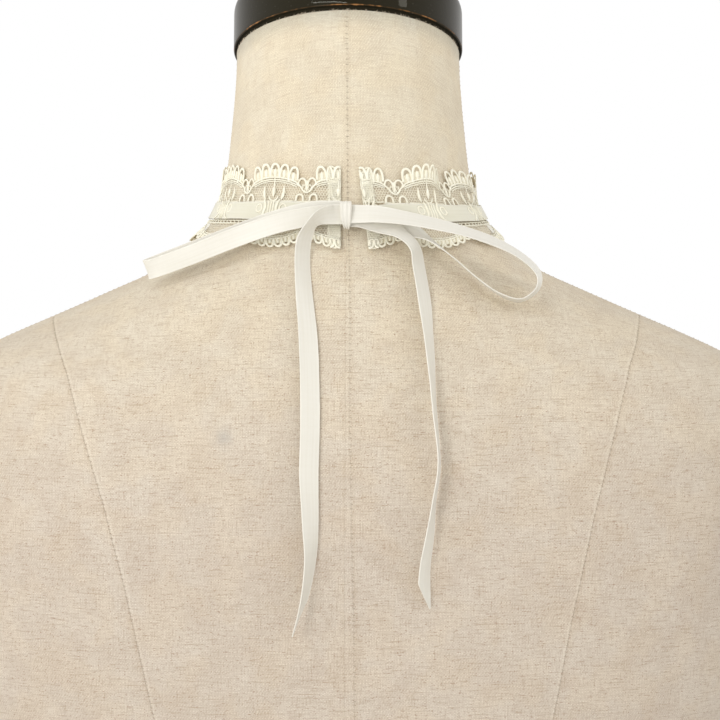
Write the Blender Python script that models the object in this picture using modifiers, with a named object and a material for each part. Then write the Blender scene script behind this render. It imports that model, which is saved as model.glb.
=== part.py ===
# Lace choker with a satin ribbon bow, worn on a linen covered half dress form with a black neck cap.
# Metres, +Z up. The wearer's front faces -Y and the bow is at the back, +Y. The origin is the middle of
# the form's flat base. Every length below is written in millimetres and turned into metres by MM.
import math
from collections import namedtuple

import bmesh
import bpy
from mathutils import Vector

MM = 0.001

# Driving dimensions
SEAT_GAP = 0.3              # gap left between pieces that touch
CLOTH_WALL = 1.0            # wall of the net and of the ribbon
BORDER_RAISE = 0.5          # how much thicker the embroidered borders are than the net
HEM_RAISE = 0.8             # how much thicker the lace is where its end is turned under
HEM_WIDTH = 5.6             # width of each turned end
BORDER_DEEP = 5.6           # depth of each looped border, edge to net
SCALLOPS = 11               # scallops along the lace
ARCHES = 6                  # looped arches along one scallop's edge
RIBBON_WIDTH = 9.0
SHARP_ANGLE = math.radians(35)

for old in list(bpy.data.objects):
    bpy.data.objects.remove(old)

CHOKER = bpy.data.collections.new("lace_choker_on_dress_form")
bpy.context.scene.collection.children.link(CHOKER)


def material(name, colour, roughness, metallic=0.0):
    made = bpy.data.materials.new(name)
    made.use_nodes = True
    shader = made.node_tree.nodes["Principled BSDF"]
    shader.inputs["Base Color"].default_value = (*colour, 1.0)
    shader.inputs["Roughness"].default_value = roughness
    shader.inputs["Metallic"].default_value = metallic
    return made


LINEN = material("linen", (0.68, 0.58, 0.43), 0.9)
LACQUER = material("black_lacquer", (0.012, 0.012, 0.011), 0.18)
LACE = material("ivory_lace", (0.88, 0.84, 0.68), 0.8)
SATIN = material("ivory_satin", (0.9, 0.88, 0.78), 0.4)


def new_object(name, points, faces, finish):
    """A mesh object of points in millimetres, smooth shaded with its sharp edges kept."""
    mesh = bpy.data.meshes.new(name)
    mesh.from_pydata([Vector(p) * MM for p in points], [], faces)
    mesh.validate()
    mesh.materials.append(finish)
    mesh.shade_smooth()
    mesh.set_sharp_from_angle(angle=SHARP_ANGLE)
    made = bpy.data.objects.new(name, mesh)
    CHOKER.objects.link(made)
    return made


def sheet_faces(columns, rows):
    """Faces of an open grid whose points run up each column in turn."""
    faces = []
    for k in range(columns - 1):
        for i in range(rows - 1):
            a, b = k * rows + i, (k + 1) * rows + i
            faces.append((a, a + 1, b + 1, b))
    return faces


def add_wall(made, thickness, offset):
    """Gives an open sheet its wall: offset 1 is all on its outer side, 0 is half on each side."""
    wall = made.modifiers.new("wall", "SOLIDIFY")
    wall.thickness = thickness * MM
    wall.offset = offset
    return wall


def loft(rings):
    """Points and faces of a closed solid through rings of equal length, with a fan cap at each end."""
    around = len(rings[0])
    points = [p for ring in rings for p in ring]
    faces = []
    for k in range(len(rings) - 1):
        for i in range(around):
            j = (i + 1) % around
            low, high = k * around, (k + 1) * around
            faces.append((low + i, low + j, high + j, high + i))
    faces.append(tuple(reversed(range(around))))
    faces.append(tuple(range((len(rings) - 1) * around, len(rings) * around)))
    return points, faces


def smooth_value(x, xs, ys):
    """Height x looked up in a column of the table, on a smooth curve through its rows."""
    if x <= xs[0]:
        return ys[0]
    if x >= xs[-1]:
        return ys[-1]
    k = max(i for i in range(len(xs) - 1) if xs[i] <= x)

    def slope(i):
        if i == 0 or i == len(xs) - 1:
            return 0.0 if i == 0 else (ys[-1] - ys[-2]) / (xs[-1] - xs[-2])
        before = (ys[i] - ys[i - 1]) / (xs[i] - xs[i - 1])
        after = (ys[i + 1] - ys[i]) / (xs[i + 1] - xs[i])
        return 0.0 if before * after <= 0 else 2 * before * after / (before + after)

    span = xs[k + 1] - xs[k]
    t = (x - xs[k]) / span
    return (ys[k] * (1 + 2 * t) * (1 - t) ** 2 + slope(k) * span * t * (1 - t) ** 2
            + ys[k + 1] * t * t * (3 - 2 * t) + slope(k + 1) * span * t * t * (t - 1))


# The dress form's sections, base to neck top. Widths and depths are from its middle plane and axis.
# side_y is where a section is widest, squareness 2 is an ellipse, tilt is how much the section leans up
# towards the back.
Section = namedtuple("Section", "height half_width back front side_y squareness tilt")
FORM_SECTIONS = [
    Section(0.0, 140.0, 80.0, -84.0, -2.0, 2.2, 0.0),
    Section(35.0, 142.0, 82.5, -88.0, -2.0, 2.2, 0.0),
    Section(80.0, 151.0, 88.5, -96.0, -2.0, 2.25, 0.0),
    Section(130.0, 169.5, 97.0, -105.0, -1.0, 2.4, 0.0),
    Section(165.0, 182.0, 102.5, -108.0, 0.0, 2.55, 0.0),
    Section(200.0, 187.5, 107.0, -105.0, 0.0, 2.65, 0.0),
    Section(240.0, 191.0, 109.5, -94.0, 1.0, 2.7, 0.0),
    Section(275.0, 193.5, 107.5, -81.0, 2.0, 2.6, 0.0),
    Section(298.0, 194.5, 103.5, -73.0, 2.0, 2.45, 0.0),
    Section(312.0, 193.5, 99.0, -69.0, 2.0, 2.3, 0.0),
    Section(322.0, 190.0, 95.2, -67.0, 2.0, 2.2, 0.0),
    Section(328.0, 184.0, 92.6, -66.2, 2.0, 2.1, 0.0),
    Section(333.0, 174.5, 90.2, -65.6, 2.0, 2.05, 0.0),
    Section(341.0, 157.0, 86.3, -65.0, 2.0, 2.0, 0.0),
    Section(350.0, 136.0, 82.0, -64.0, 2.0, 2.0, 0.0),
    Section(361.6, 109.5, 76.0, -63.0, 2.0, 2.0, 0.0),
    Section(369.5, 92.0, 72.0, -62.5, 1.5, 2.0, 0.0),
    Section(374.0, 84.0, 69.6, -62.0, 1.0, 2.0, 0.0),
    Section(379.0, 77.1, 67.0, -61.5, 0.5, 2.0, 0.0),
    Section(384.5, 71.6, 64.3, -61.0, 0.0, 2.0, 0.0),
    Section(390.0, 66.7, 61.8, -60.6, 0.0, 2.0, 0.0),
    Section(394.5, 63.2, 59.9, -60.3, 0.0, 2.0, 0.005),
    Section(400.0, 60.5, 57.8, -60.0, -0.5, 2.0, 0.015),
    Section(411.0, 58.0, 54.0, -61.0, -2.8, 2.0, 0.05),
    Section(422.0, 56.6, 50.4, -63.0, -5.6, 2.0, 0.11),
    Section(434.0, 55.4, 46.6, -65.4, -9.0, 2.0, 0.19),
    Section(450.0, 54.0, 41.4, -69.0, -13.6, 2.0, 0.29),
    Section(464.0, 53.2, 37.2, -72.4, -17.4, 2.0, 0.35),
    Section(472.0, 53.1, 35.0, -74.2, -19.4, 2.0, 0.37),
]
HEIGHTS = [s.height for s in FORM_SECTIONS]
NECK_TOP = FORM_SECTIONS[-1]

# The bust: two soft mounds on the front, as reach, side, height and spread of each
BUST_REACH = 21.0
BUST_SIDE = 80.0
BUST_HEIGHT = 172.0
BUST_WIDTH = 56.0
BUST_TALL = 58.0
BUST_TURN = 3.0             # how quickly a mound comes up from the side seam


def form_section(height):
    return Section(height, *(smooth_value(height, HEIGHTS, [s[c] for s in FORM_SECTIONS])
                             for c in range(1, len(Section._fields))))


# The lace is laid over many points, so near the neck the sections are looked up in a fine table
TABLE_LOW = 370.0
TABLE_HIGH = 450.0
TABLE_STEP = 0.5
NECK_TABLE = [form_section(TABLE_LOW + TABLE_STEP * k)
              for k in range(round((TABLE_HIGH - TABLE_LOW) / TABLE_STEP) + 1)]


def neck_section(height):
    place = (height - TABLE_LOW) / TABLE_STEP
    k = int(place)
    low, high = NECK_TABLE[k], NECK_TABLE[k + 1]
    return Section(*(a + (b - a) * (place - k) for a, b in zip(low, high)))


def form_point(angle, height):
    """A point on the form. Angle 0 is the back's middle line, and it grows towards +X."""
    s = neck_section(height) if TABLE_LOW <= height < TABLE_HIGH else form_section(height)
    power = 2.0 / s.squareness
    across, along = math.sin(angle), math.cos(angle)
    x = s.half_width * math.copysign(abs(across) ** power, across)
    reach = s.back - s.side_y if along >= 0 else s.side_y - s.front
    y = s.side_y + reach * math.copysign(abs(along) ** power, along)
    if along < 0:
        for side in (-BUST_SIDE, BUST_SIDE):
            away = ((x - side) / BUST_WIDTH) ** 2 + ((height - BUST_HEIGHT) / BUST_TALL) ** 2
            y -= BUST_REACH * math.exp(-away) * min(1.0, -along * BUST_TURN)
    return Vector((x, y, height + s.tilt * (y - s.side_y)))


def form_normal(angle, height):
    """The outward direction of the form's surface."""
    step_round, step_up = 0.01, 0.5
    round_it = form_point(angle + step_round, height) - form_point(angle - step_round, height)
    up_it = form_point(angle, height + step_up) - form_point(angle, height - step_up)
    return up_it.cross(round_it).normalized()


def back_surface(x, z):
    """How far back the form's surface lies at this place, below the neck."""
    s = form_section(z)
    share = min(1.0, abs(x) / s.half_width)
    return s.side_y + (s.back - s.side_y) * (1 - share ** s.squareness) ** (1 / s.squareness)


# Form body: one closed shell shape from the flat base to the neck's top, where the cap sits
FORM_AROUND = 52
FORM_RING_HEIGHTS = sorted(set(HEIGHTS) | {16.0, 57.0, 105.0, 148.0, 182.0, 220.0, 258.0, 287.0, 305.0,
                                           345.5, 355.5, 365.5, 405.0, 416.5, 428.0, 442.0})


def build_form():
    rings = []
    for height in FORM_RING_HEIGHTS:
        turns = [2 * math.pi * i / FORM_AROUND for i in range(FORM_AROUND)]
        rings.append([form_point(-turn, height) for turn in turns])
    return new_object("form_body", *loft(rings), LINEN)


# Neck cap: an oval slab of lacquered wood, its top edge rounded over, on the neck's tilted top
CAP_OVERHANG = 1.6
CAP_HEIGHT = 28.0
CAP_ROUND = 8.0
CAP_ROUND_STEPS = 5
CAP_SIDES = 56


def block_object(name, block, finish):
    """A mesh object of a primitive that bmesh has made in metres."""
    mesh = bpy.data.meshes.new(name)
    block.to_mesh(mesh)
    block.free()
    mesh.materials.append(finish)
    mesh.shade_smooth()
    mesh.set_sharp_from_angle(angle=SHARP_ANGLE)
    made = bpy.data.objects.new(name, mesh)
    CHOKER.objects.link(made)
    return made


def build_neck_cap():
    s = NECK_TOP
    lean = math.atan(s.tilt)
    wide = s.half_width + CAP_OVERHANG
    deep = (s.back - s.front) / 2 / math.cos(lean) + CAP_OVERHANG
    slab = bmesh.new()
    bmesh.ops.create_cone(slab, cap_ends=True, segments=CAP_SIDES,
                          radius1=1.0, radius2=1.0, depth=CAP_HEIGHT * MM)
    bmesh.ops.scale(slab, vec=(wide * MM, deep * MM, 1.0), verts=slab.verts)
    top_edges = [e for e in slab.edges if all(v.co.z > 0 for v in e.verts)]
    bmesh.ops.bevel(slab, geom=top_edges, offset=CAP_ROUND * MM, segments=CAP_ROUND_STEPS,
                    affect="EDGES", profile=0.5)
    cap = block_object("neck_cap", slab, LACQUER)
    middle_y = (s.back + s.front) / 2
    seat = Vector((0, middle_y, s.height + s.tilt * (middle_y - s.side_y)))
    cap.rotation_euler.x = lean
    cap.location = (seat + Vector((0, -math.sin(lean), math.cos(lean))) * (CAP_HEIGHT / 2 + SEAT_GAP)) * MM
    return cap


# How the lace lies on the neck. Its ribbon's middle line is level but for a dip on the -X side.
# Its left end is cut straight, its right end slants away at the foot.
LACE_LINE = 397.2
LINE_DIP = 1.4
LINE_DIP_PLACE = 310.0
LINE_DIP_LENGTH = 60.0
LACE_START = math.radians(2.8)
LACE_END_TOP = math.radians(360 - 4.6)
LACE_END_FOOT = math.radians(360 - 8.9)
LACE_TOP_PEAK = 21.6
LACE_TOP_LOW = 13.3
LACE_FOOT_PEAK = 17.9
LACE_FOOT_LOW = 12.2
TOP_ROUNDNESS = 0.5                 # power of the cosine that shapes a scallop: lower is blunter
FOOT_ROUNDNESS = 0.9
ARCH_ROUNDNESS = 0.6
ARCH_RISE = 1.1
END_DROP = 2.0                      # how much lower the top edge is at the lace's two turned ends
END_DROP_LENGTH = 1 / 3             # in scallops
LACE_CLEARANCE = 0.6
FOOT_FLARE = 1.1
FOOT_FLARE_POWER = 1.5
FOOT_SPREAD = math.radians(6.5)     # how far the foot's scallops keep to the straight fall of the net
FOOT_SPREAD_POWER = 1.2
TOP_LIFT_POWER = 1.6
FOLD_DRAW = math.radians(8.0)       # how far the fold on the -X side draws the top edge towards the back
FOLD_PLACE = 304.0
FOLD_LENGTH = 26.0
TOP_SAG = 0.2                       # share by which the top edge sags beside that fold
TOP_SAG_PLACE = 276.0
TOP_SAG_LENGTH = 36.0

# Where the loose top edge stands away from the neck: place and half length in degrees, lift at the edge
Wave = namedtuple("Wave", "place half_length lift")
TOP_WAVES = [
    Wave(12.0, 12.0, 1.2),
    Wave(42.0, 13.0, 1.2),
    Wave(84.0, 15.0, 0.6),
    Wave(131.0, 20.0, 1.5),
    Wave(178.0, 24.0, 2.2),
    Wave(226.0, 19.0, 1.6),
    Wave(266.0, 16.0, 2.0),
    Wave(290.0, 11.0, 1.2),
    Wave(321.0, 9.0, 3.4),
    Wave(328.0, 14.0, 2.6),
]


def bump(x):
    """A soft hill, 1 at 0 and 0 from 1 outwards."""
    return 0.0 if abs(x) >= 1 else (1 + math.cos(math.pi * x)) / 2


def lace_angle(scallop, across):
    """The angle round the neck, for a place along the lace counted in scallops."""
    slant = (LACE_TOP_PEAK - across) / (LACE_TOP_PEAK + LACE_FOOT_PEAK)
    end = LACE_END_TOP + (LACE_END_FOOT - LACE_END_TOP) * slant
    angle = LACE_START + (end - LACE_START) * scallop / SCALLOPS
    if across < 0:
        angle -= FOOT_SPREAD * math.sin(2 * angle) * (-across / LACE_FOOT_PEAK) ** FOOT_SPREAD_POWER
    else:
        angle += FOLD_DRAW * bump((math.degrees(angle) - FOLD_PLACE) / FOLD_LENGTH) * across / LACE_TOP_PEAK
    return angle


def line_height(angle):
    """The height on the form of the ribbon's middle line."""
    return LACE_LINE - LINE_DIP * bump((math.degrees(angle) - LINE_DIP_PLACE) / LINE_DIP_LENGTH)


def height_across(angle, across):
    """The height on the form, this far up or down its surface from the ribbon's middle line."""
    height = line_height(angle)
    step = math.copysign(1.0, across)
    left_over = abs(across)
    if across > 0:
        left_over *= 1 - TOP_SAG * bump((math.degrees(angle) - TOP_SAG_PLACE) / TOP_SAG_LENGTH)
    here = form_point(angle, height)
    while left_over > 0:
        there = form_point(angle, height + step)
        length = (there - here).length
        share = min(1.0, left_over / length)
        height += step * share
        left_over -= length
        here = there
    return height


def lace_lift(angle, across):
    """How far the lace's inner side stands off the neck."""
    lift = LACE_CLEARANCE
    if across > 0:
        share = (across / LACE_TOP_PEAK) ** TOP_LIFT_POWER
        lift += share * sum(w.lift * bump((math.degrees(angle) - w.place) / w.half_length) for w in TOP_WAVES)
    else:
        lift += FOOT_FLARE * (-across / LACE_FOOT_PEAK) ** FOOT_FLARE_POWER
    return lift


# The lace's outline in its flat length: scallops with small looped arches on them
def arch_swell(scallop):
    return ARCH_RISE * abs(math.sin(math.pi * scallop * ARCHES)) ** ARCH_ROUNDNESS


def top_edge(scallop):
    swell = abs(math.cos(math.pi * scallop)) ** TOP_ROUNDNESS
    end_turn = END_DROP * (bump(scallop / END_DROP_LENGTH) + bump((SCALLOPS - scallop) / END_DROP_LENGTH))
    return LACE_TOP_LOW + (LACE_TOP_PEAK - LACE_TOP_LOW) * swell + arch_swell(scallop) - end_turn


def foot_edge(scallop):
    swell = abs(math.cos(math.pi * scallop)) ** FOOT_ROUNDNESS
    return -(LACE_FOOT_LOW + (LACE_FOOT_PEAK - LACE_FOOT_LOW) * swell + arch_swell(scallop))


ARCH_STOPS = (0.0, 0.15, 0.5, 0.85)     # places along one arch where the wall has a column
NET_EDGE = RIBBON_WIDTH / 2 + 0.4       # where the flat strip of net under the ribbon ends
NET_STRIP = 1.5                         # least net between the ribbon and the upper border
BORDER_INNER_RAISE = 0.4 * BORDER_RAISE
LACE_ROWS = 6


def lace_columns():
    stops = [(k + stop) / ARCHES for k in range(SCALLOPS * ARCHES) for stop in ARCH_STOPS]
    return stops + [float(SCALLOPS)]


def lace_pitch():
    """Length of one scallop at the ribbon's line."""
    neck = form_section(LACE_LINE)
    radius = math.sqrt((neck.half_width ** 2 + ((neck.back - neck.front) / 2) ** 2) / 2)
    return (LACE_END_TOP - LACE_START) * radius / SCALLOPS


def lace_rows(scallop):
    """(height across, added thickness) from foot to top at one place along the lace."""
    hemmed = min(scallop, SCALLOPS - scallop) * lace_pitch() < HEM_WIDTH
    hem = HEM_RAISE if hemmed else 0.0
    top, foot = top_edge(scallop), foot_edge(scallop)
    return [
        (foot, BORDER_RAISE + hem),
        (foot + BORDER_DEEP, BORDER_INNER_RAISE + hem),
        (-NET_EDGE, 0.0),
        (NET_EDGE, 0.0),
        (max(NET_EDGE + NET_STRIP, top - BORDER_DEEP), BORDER_INNER_RAISE + hem),
        (top, BORDER_RAISE + hem),
    ]


def build_lace():
    """The lace's inner side as an open sheet. Solidify gives the wall, thicker at borders and hems."""
    points, thickness = [], []
    for scallop in lace_columns():
        for across, raised in lace_rows(scallop):
            angle = lace_angle(scallop, across)
            height = height_across(angle, across)
            points.append(form_point(angle, height) + form_normal(angle, height) * lace_lift(angle, across))
            thickness.append(CLOTH_WALL + raised)
    made = new_object("lace_band", points, sheet_faces(len(points) // LACE_ROWS, LACE_ROWS), LACE)
    thickest = max(thickness)
    group = made.vertex_groups.new(name="thickness")
    for k, wall in enumerate(thickness):
        group.add([k], wall / thickest, "REPLACE")
    add_wall(made, thickest, 1.0).vertex_group = "thickness"
    return made


# Satin strips. Each is a centre line of stations with the way its width faces, as an open sheet that
# Solidify makes into a wall.
Station = namedtuple("Station", "x y z turn")
REAR = Vector((0, 1, 0))
LOOP_UP = Vector((0.35, 0, 0.94))     # square to the left loop where it folds back


def spline(stations, steps):
    """Stations at even shares along a smooth curve through the given ones."""
    rows = [tuple(s) for s in stations]
    out = []
    for k in range(steps + 1):
        place = (len(rows) - 1) * k / steps
        i = min(int(place), len(rows) - 2)
        t = place - i
        a, b, c, d = (rows[max(0, min(len(rows) - 1, i + n))] for n in (-1, 0, 1, 2))
        out.append(Station(*(0.5 * (2 * q + (r - p) * t + (2 * p - 5 * q + 4 * r - s) * t * t
                                    + (3 * q - p - 3 * r + s) * t ** 3) for p, q, r, s in zip(a, b, c, d))))
    return out


def strip_edges(stations, reference):
    """The strip's two edges. A turn of 90 lays its width as near to the reference way as it can be."""
    centres = [Vector(s[:3]) for s in stations]
    left, right = [], []
    for k, s in enumerate(stations):
        ahead = (centres[min(k + 1, len(centres) - 1)] - centres[max(k - 1, 0)]).normalized()
        first = (reference - ahead * ahead.dot(reference)).normalized()
        turn = math.radians(s.turn)
        wide = (ahead.cross(first) * math.cos(turn) + first * math.sin(turn)) * RIBBON_WIDTH / 2
        left.append(centres[k] + wide)
        right.append(centres[k] - wide)
    return left, right


def build_strip(name, stations, reference, end_cut=0.0):
    """A satin strip. end_cut is how much shorter one edge is where the ribbon is cut on the slant,
    the left edge where it is positive and the right one where it is negative."""
    left, right = strip_edges(stations, reference)
    if end_cut:
        left, right = cut_end(left, right, end_cut)
    points = [p for pair in zip(left, right) for p in pair]
    made = new_object(name, points, sheet_faces(len(left), 2), SATIN)
    add_wall(made, CLOTH_WALL, 0.0)
    return made


TIP_SHARE = 0.93            # how much of the width a slanted cut takes away at the very tip


def cut_end(left, right, cut):
    """Draws the last part of one edge in towards the other, so that the strip ends on a slant."""
    edge, other = (left, right) if cut > 0 else (right, left)
    last = len(edge) - 1
    first = last
    slanted = 0.0
    while first > 0 and slanted < abs(cut):
        slanted += (edge[first] - edge[first - 1]).length
        first -= 1
    for i in range(first + 1, last + 1):
        edge[i] = edge[i] + (other[i] - edge[i]) * TIP_SHARE * (i - first) / (last - first)
    return left, right


# Ribbon in the lace: a band round the neck over the net, drooping a little to the knot behind
BAND_STEPS = 150
BAND_DROOP = 2.2
BAND_START = math.radians(3.4)
BAND_END = math.radians(360 - 2.6)
DROOP_LENGTH = math.radians(24)
BAND_RISE = 0.4             # how much further than the seat gap the ribbon stands off the net
BAND_LIFT = CLOTH_WALL + SEAT_GAP + BAND_RISE


def band_point(angle, across):
    """A point on the ribbon's inner side."""
    near_end = max(bump((angle - BAND_START) / DROOP_LENGTH), bump((BAND_END - angle) / DROOP_LENGTH))
    across = across - BAND_DROOP * near_end
    height = height_across(angle, across)
    lift = lace_lift(angle, across) + BAND_LIFT
    return form_point(angle, height) + form_normal(angle, height) * lift


def build_ribbon_band():
    points = []
    for k in range(BAND_STEPS + 1):
        angle = BAND_START + (BAND_END - BAND_START) * k / BAND_STEPS
        points += [band_point(angle, -RIBBON_WIDTH / 2), band_point(angle, RIBBON_WIDTH / 2)]
    made = new_object("ribbon_band", points, sheet_faces(BAND_STEPS + 1, 2), SATIN)
    add_wall(made, CLOTH_WALL, 1.0)
    return made


# Knot: the ribbon's wrap round the bow, a soft upright block
KNOT_X = 0.7
KNOT_Y = 67.3
KNOT_Z = 396.8
KNOT_HALF_WIDTH = 2.7
KNOT_HALF_DEPTH = 4.6
KNOT_HALF_HEIGHT = 5.9
KNOT_ROUND = 1.9


def build_knot():
    block = bmesh.new()
    bmesh.ops.create_cube(block, size=2.0)
    size = Vector((KNOT_HALF_WIDTH, KNOT_HALF_DEPTH, KNOT_HALF_HEIGHT)) * MM
    bmesh.ops.scale(block, vec=size, verts=block.verts)
    knot = block_object("ribbon_knot", block, SATIN)
    knot.location = Vector((KNOT_X, KNOT_Y, KNOT_Z)) * MM
    rounding = knot.modifiers.new("rounding", "BEVEL")
    rounding.width = KNOT_ROUND * MM
    rounding.segments = 3
    return knot


# Bow and tails
KNOT_GAP = 0.5
LEFT_OF_KNOT = KNOT_X + KNOT_HALF_WIDTH + KNOT_GAP
RIGHT_OF_KNOT = KNOT_X - KNOT_HALF_WIDTH - KNOT_GAP


def build_left_loop():
    """Out on the layer behind, round the fold and back on the front layer, its width kept upright."""
    behind = [
        Station(LEFT_OF_KNOT, 65.0, 398.4, 84),
        Station(8.0, 65.1, 398.5, 84),
        Station(17.0, 65.2, 398.0, 84),
        Station(32.0, 63.6, 394.2, 84),
        Station(50.0, 58.8, 387.8, 84),
        Station(70.0, 51.6, 380.2, 84),
        Station(84.0, 46.2, 374.9, 86),
    ]
    fold = [
        Station(89.6, 44.9, 372.7, 90),
        Station(92.0, 46.2, 371.6, 90),
        Station(92.0, 48.2, 371.3, 90),
        Station(89.6, 49.6, 371.8, 90),
    ]
    front = [
        Station(84.0, 50.6, 373.6, 94),
        Station(70.0, 55.2, 378.8, 96),
        Station(50.0, 62.0, 386.6, 96),
        Station(32.0, 65.8, 392.6, 96),
        Station(17.0, 66.9, 395.8, 96),
        Station(8.0, 66.7, 396.8, 96),
        Station(LEFT_OF_KNOT, 66.6, 396.9, 96),
    ]
    return build_strip("loop_left", spline(behind + fold + front, 56), LOOP_UP)


def build_right_loop():
    """Out facing back, round the open end on its edge, and home behind the front run."""
    stations = [
        Station(RIGHT_OF_KNOT, 69.0, 396.9, 22),
        Station(-6.0, 69.6, 396.9, 26),
        Station(-15.0, 70.6, 396.6, 36),
        Station(-32.0, 71.0, 394.0, 52),
        Station(-50.0, 69.4, 389.9, 60),
        Station(-66.0, 66.0, 384.6, 66),
        Station(-78.0, 62.8, 378.4, 70),
        Station(-86.6, 61.4, 370.2, 73),
        Station(-85.8, 63.4, 362.6, 75),
        Station(-78.0, 67.6, 357.8, 79),
        Station(-68.0, 69.2, 361.0, 84),
        Station(-58.0, 68.4, 368.6, 88),
        Station(-48.0, 67.0, 377.2, 90),
        Station(-38.0, 66.0, 385.0, 98),
        Station(-31.0, 65.4, 388.9, 128),
        Station(-24.0, 65.2, 391.6, 158),
        Station(-12.0, 65.2, 394.4, 172),
        Station(-5.0, 65.3, 395.3, 174),
        Station(RIGHT_OF_KNOT, 65.3, 395.4, 174),
    ]
    return build_strip("loop_right", spline(stations, 62), REAR)


# The tails hang down the form's back, each row a place on it: x, z, clear of the surface by, turn
Fall = namedtuple("Fall", "x z clear turn")


def fall(rows):
    """Stations whose nearer edge stays clear of the form."""
    return [Station(r.x, back_surface(r.x, r.z) + r.clear
                    + abs(math.sin(math.radians(r.turn))) * RIBBON_WIDTH / 2, r.z, r.turn) for r in rows]


def build_left_tail():
    """Out of the knot over the left loop, then down the back."""
    lead = [
        Station(LEFT_OF_KNOT, 68.6, 396.7, 0),
        Station(6.2, 69.2, 396.7, 6),
        Station(11.4, 71.8, 396.0, 36),
        Station(16.0, 73.0, 392.4, 58),
        Station(19.4, 71.6, 385.6, 44),
        Station(20.3, 71.8, 376.0, 40),
    ]
    down = fall([
        Fall(19.4, 362.0, 1.8, 36),
        Fall(17.8, 345.0, 1.7, 24),
        Fall(16.7, 325.0, 1.6, 18),
        Fall(16.4, 303.0, 1.6, 16),
        Fall(16.8, 282.0, 1.6, 20),
        Fall(16.2, 263.0, 1.7, 36),
        Fall(16.1, 246.0, 1.8, 54),
        Fall(18.7, 229.0, 1.8, 70),
        Fall(23.4, 211.5, 1.8, 82),
    ])
    return build_strip("tail_left", spline(lead + down, 58), REAR, end_cut=-16.0)


def build_right_tail():
    """Out of the knot between the right loop's two runs, then down the back."""
    lead = [
        Station(RIGHT_OF_KNOT, 67.0, 395.4, 8),
        Station(-6.0, 67.2, 395.2, 8),
        Station(-14.0, 68.0, 392.6, 16),
        Station(-24.0, 73.2, 388.0, 56),
        Station(-30.2, 74.2, 382.2, 60),
        Station(-32.2, 73.4, 373.0, 53),
    ]
    down = fall([
        Fall(-34.6, 358.6, 2.2, 52),
        Fall(-36.2, 344.0, 1.9, 60),
        Fall(-37.6, 326.0, 1.8, 72),
        Fall(-39.2, 304.0, 1.8, 80),
        Fall(-40.4, 286.0, 1.8, 82),
        Fall(-38.3, 271.0, 1.8, 78),
        Fall(-36.4, 255.0, 1.8, 66),
        Fall(-34.3, 240.0, 1.8, 56),
        Fall(-33.9, 222.8, 1.8, 50),
    ])
    return build_strip("tail_right", spline(lead + down, 58), REAR, end_cut=12.0)


build_form()
build_neck_cap()
build_lace()
build_ribbon_band()
build_knot()
build_left_loop()
build_right_loop()
build_left_tail()
build_right_tail()
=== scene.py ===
import math
from collections import namedtuple

import bmesh
import bpy
import numpy as np
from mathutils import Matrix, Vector
from mathutils.kdtree import KDTree


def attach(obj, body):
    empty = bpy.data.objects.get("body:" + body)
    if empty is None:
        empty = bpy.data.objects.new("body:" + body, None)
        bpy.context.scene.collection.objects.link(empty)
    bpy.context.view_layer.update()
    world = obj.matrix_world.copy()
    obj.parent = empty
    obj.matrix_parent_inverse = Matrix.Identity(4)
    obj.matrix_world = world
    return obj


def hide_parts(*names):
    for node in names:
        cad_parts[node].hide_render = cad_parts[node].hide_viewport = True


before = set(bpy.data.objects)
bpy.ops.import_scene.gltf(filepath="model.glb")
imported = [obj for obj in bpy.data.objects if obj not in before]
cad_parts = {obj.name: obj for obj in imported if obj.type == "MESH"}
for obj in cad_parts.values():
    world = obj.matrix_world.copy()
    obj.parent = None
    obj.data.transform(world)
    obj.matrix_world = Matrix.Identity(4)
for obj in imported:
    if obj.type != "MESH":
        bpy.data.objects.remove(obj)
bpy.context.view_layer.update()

MM = 0.001


# Camera: a long lens behind the form at the bow's height, looking a little down, so that the bow
# lies above the middle of a square picture.
EYE = Vector((-5.7, 1500.0, 400.0)) * MM
AIM = Vector((-5.7, 0.0, 327.5)) * MM
VIEW_WIDTH = 341.3 * MM         # what the picture spans at the form's axis
SENSOR = 36.0


def build_camera():
    lens = bpy.data.cameras.new("camera")
    lens.sensor_width = SENSOR
    lens.lens = SENSOR * EYE.y / VIEW_WIDTH
    lens.clip_start = 0.05
    camera = bpy.data.objects.new("camera", lens)
    camera.location = EYE
    camera.rotation_euler = (AIM - EYE).to_track_quat("-Z", "Y").to_euler()
    bpy.context.scene.collection.objects.link(camera)
    bpy.context.scene.camera = camera


build_camera()


# Studio: a white surround, a soft light on the picture's left behind the camera, a weak one low in the
# middle, and two narrow ones whose glints show in the cap. The surround lights less than it looks.
SURROUND_SEEN = 1.0
SURROUND_LIGHT = 0.45
SURROUND_LOW = 0.18
SIDE_GAIN = 3.45                # the room is this much brighter to the sides than ahead
LIGHT_FLOOR = -0.9              # how far down a direction points where the light is weakest
LIGHT_LEVEL = 0.1
SURROUND_TINT = (1.0, 0.985, 0.965, 1.0)
WHITE = (1.0, 1.0, 1.0, 1.0)
FLOOR_RADIUS = 2.6
FLOOR_SIDES = 96
FLOOR_TONE = (0.82, 0.815, 0.8, 1.0)
FLOOR_ROUGHNESS = 0.7
Lamp = namedtuple("Lamp", "name place aim wide tall power tint")
LAMPS = [
    Lamp("key_light", (0.95, 1.85, 0.68), (0.0, 0.05, 0.4), 0.6, 0.6, 11.0, (1.0, 0.985, 0.965)),
    Lamp("fill_light", (0.05, 2.0, 0.12), (0.0, 0.05, 0.4), 0.6, 0.6, 3.4, (1.0, 0.99, 0.975)),
    Lamp("window_glint", (0.278, 0.65, 1.005), (0.009, 0.03, 0.49), 0.56, 0.018, 1.25, (0.96, 0.98, 1.0)),
    Lamp("lamp_glint", (-0.7, 0.285, 0.943), (-0.025, 0.02, 0.49), 0.13, 0.1, 0.3, (1.0, 0.99, 0.97)),
]


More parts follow.
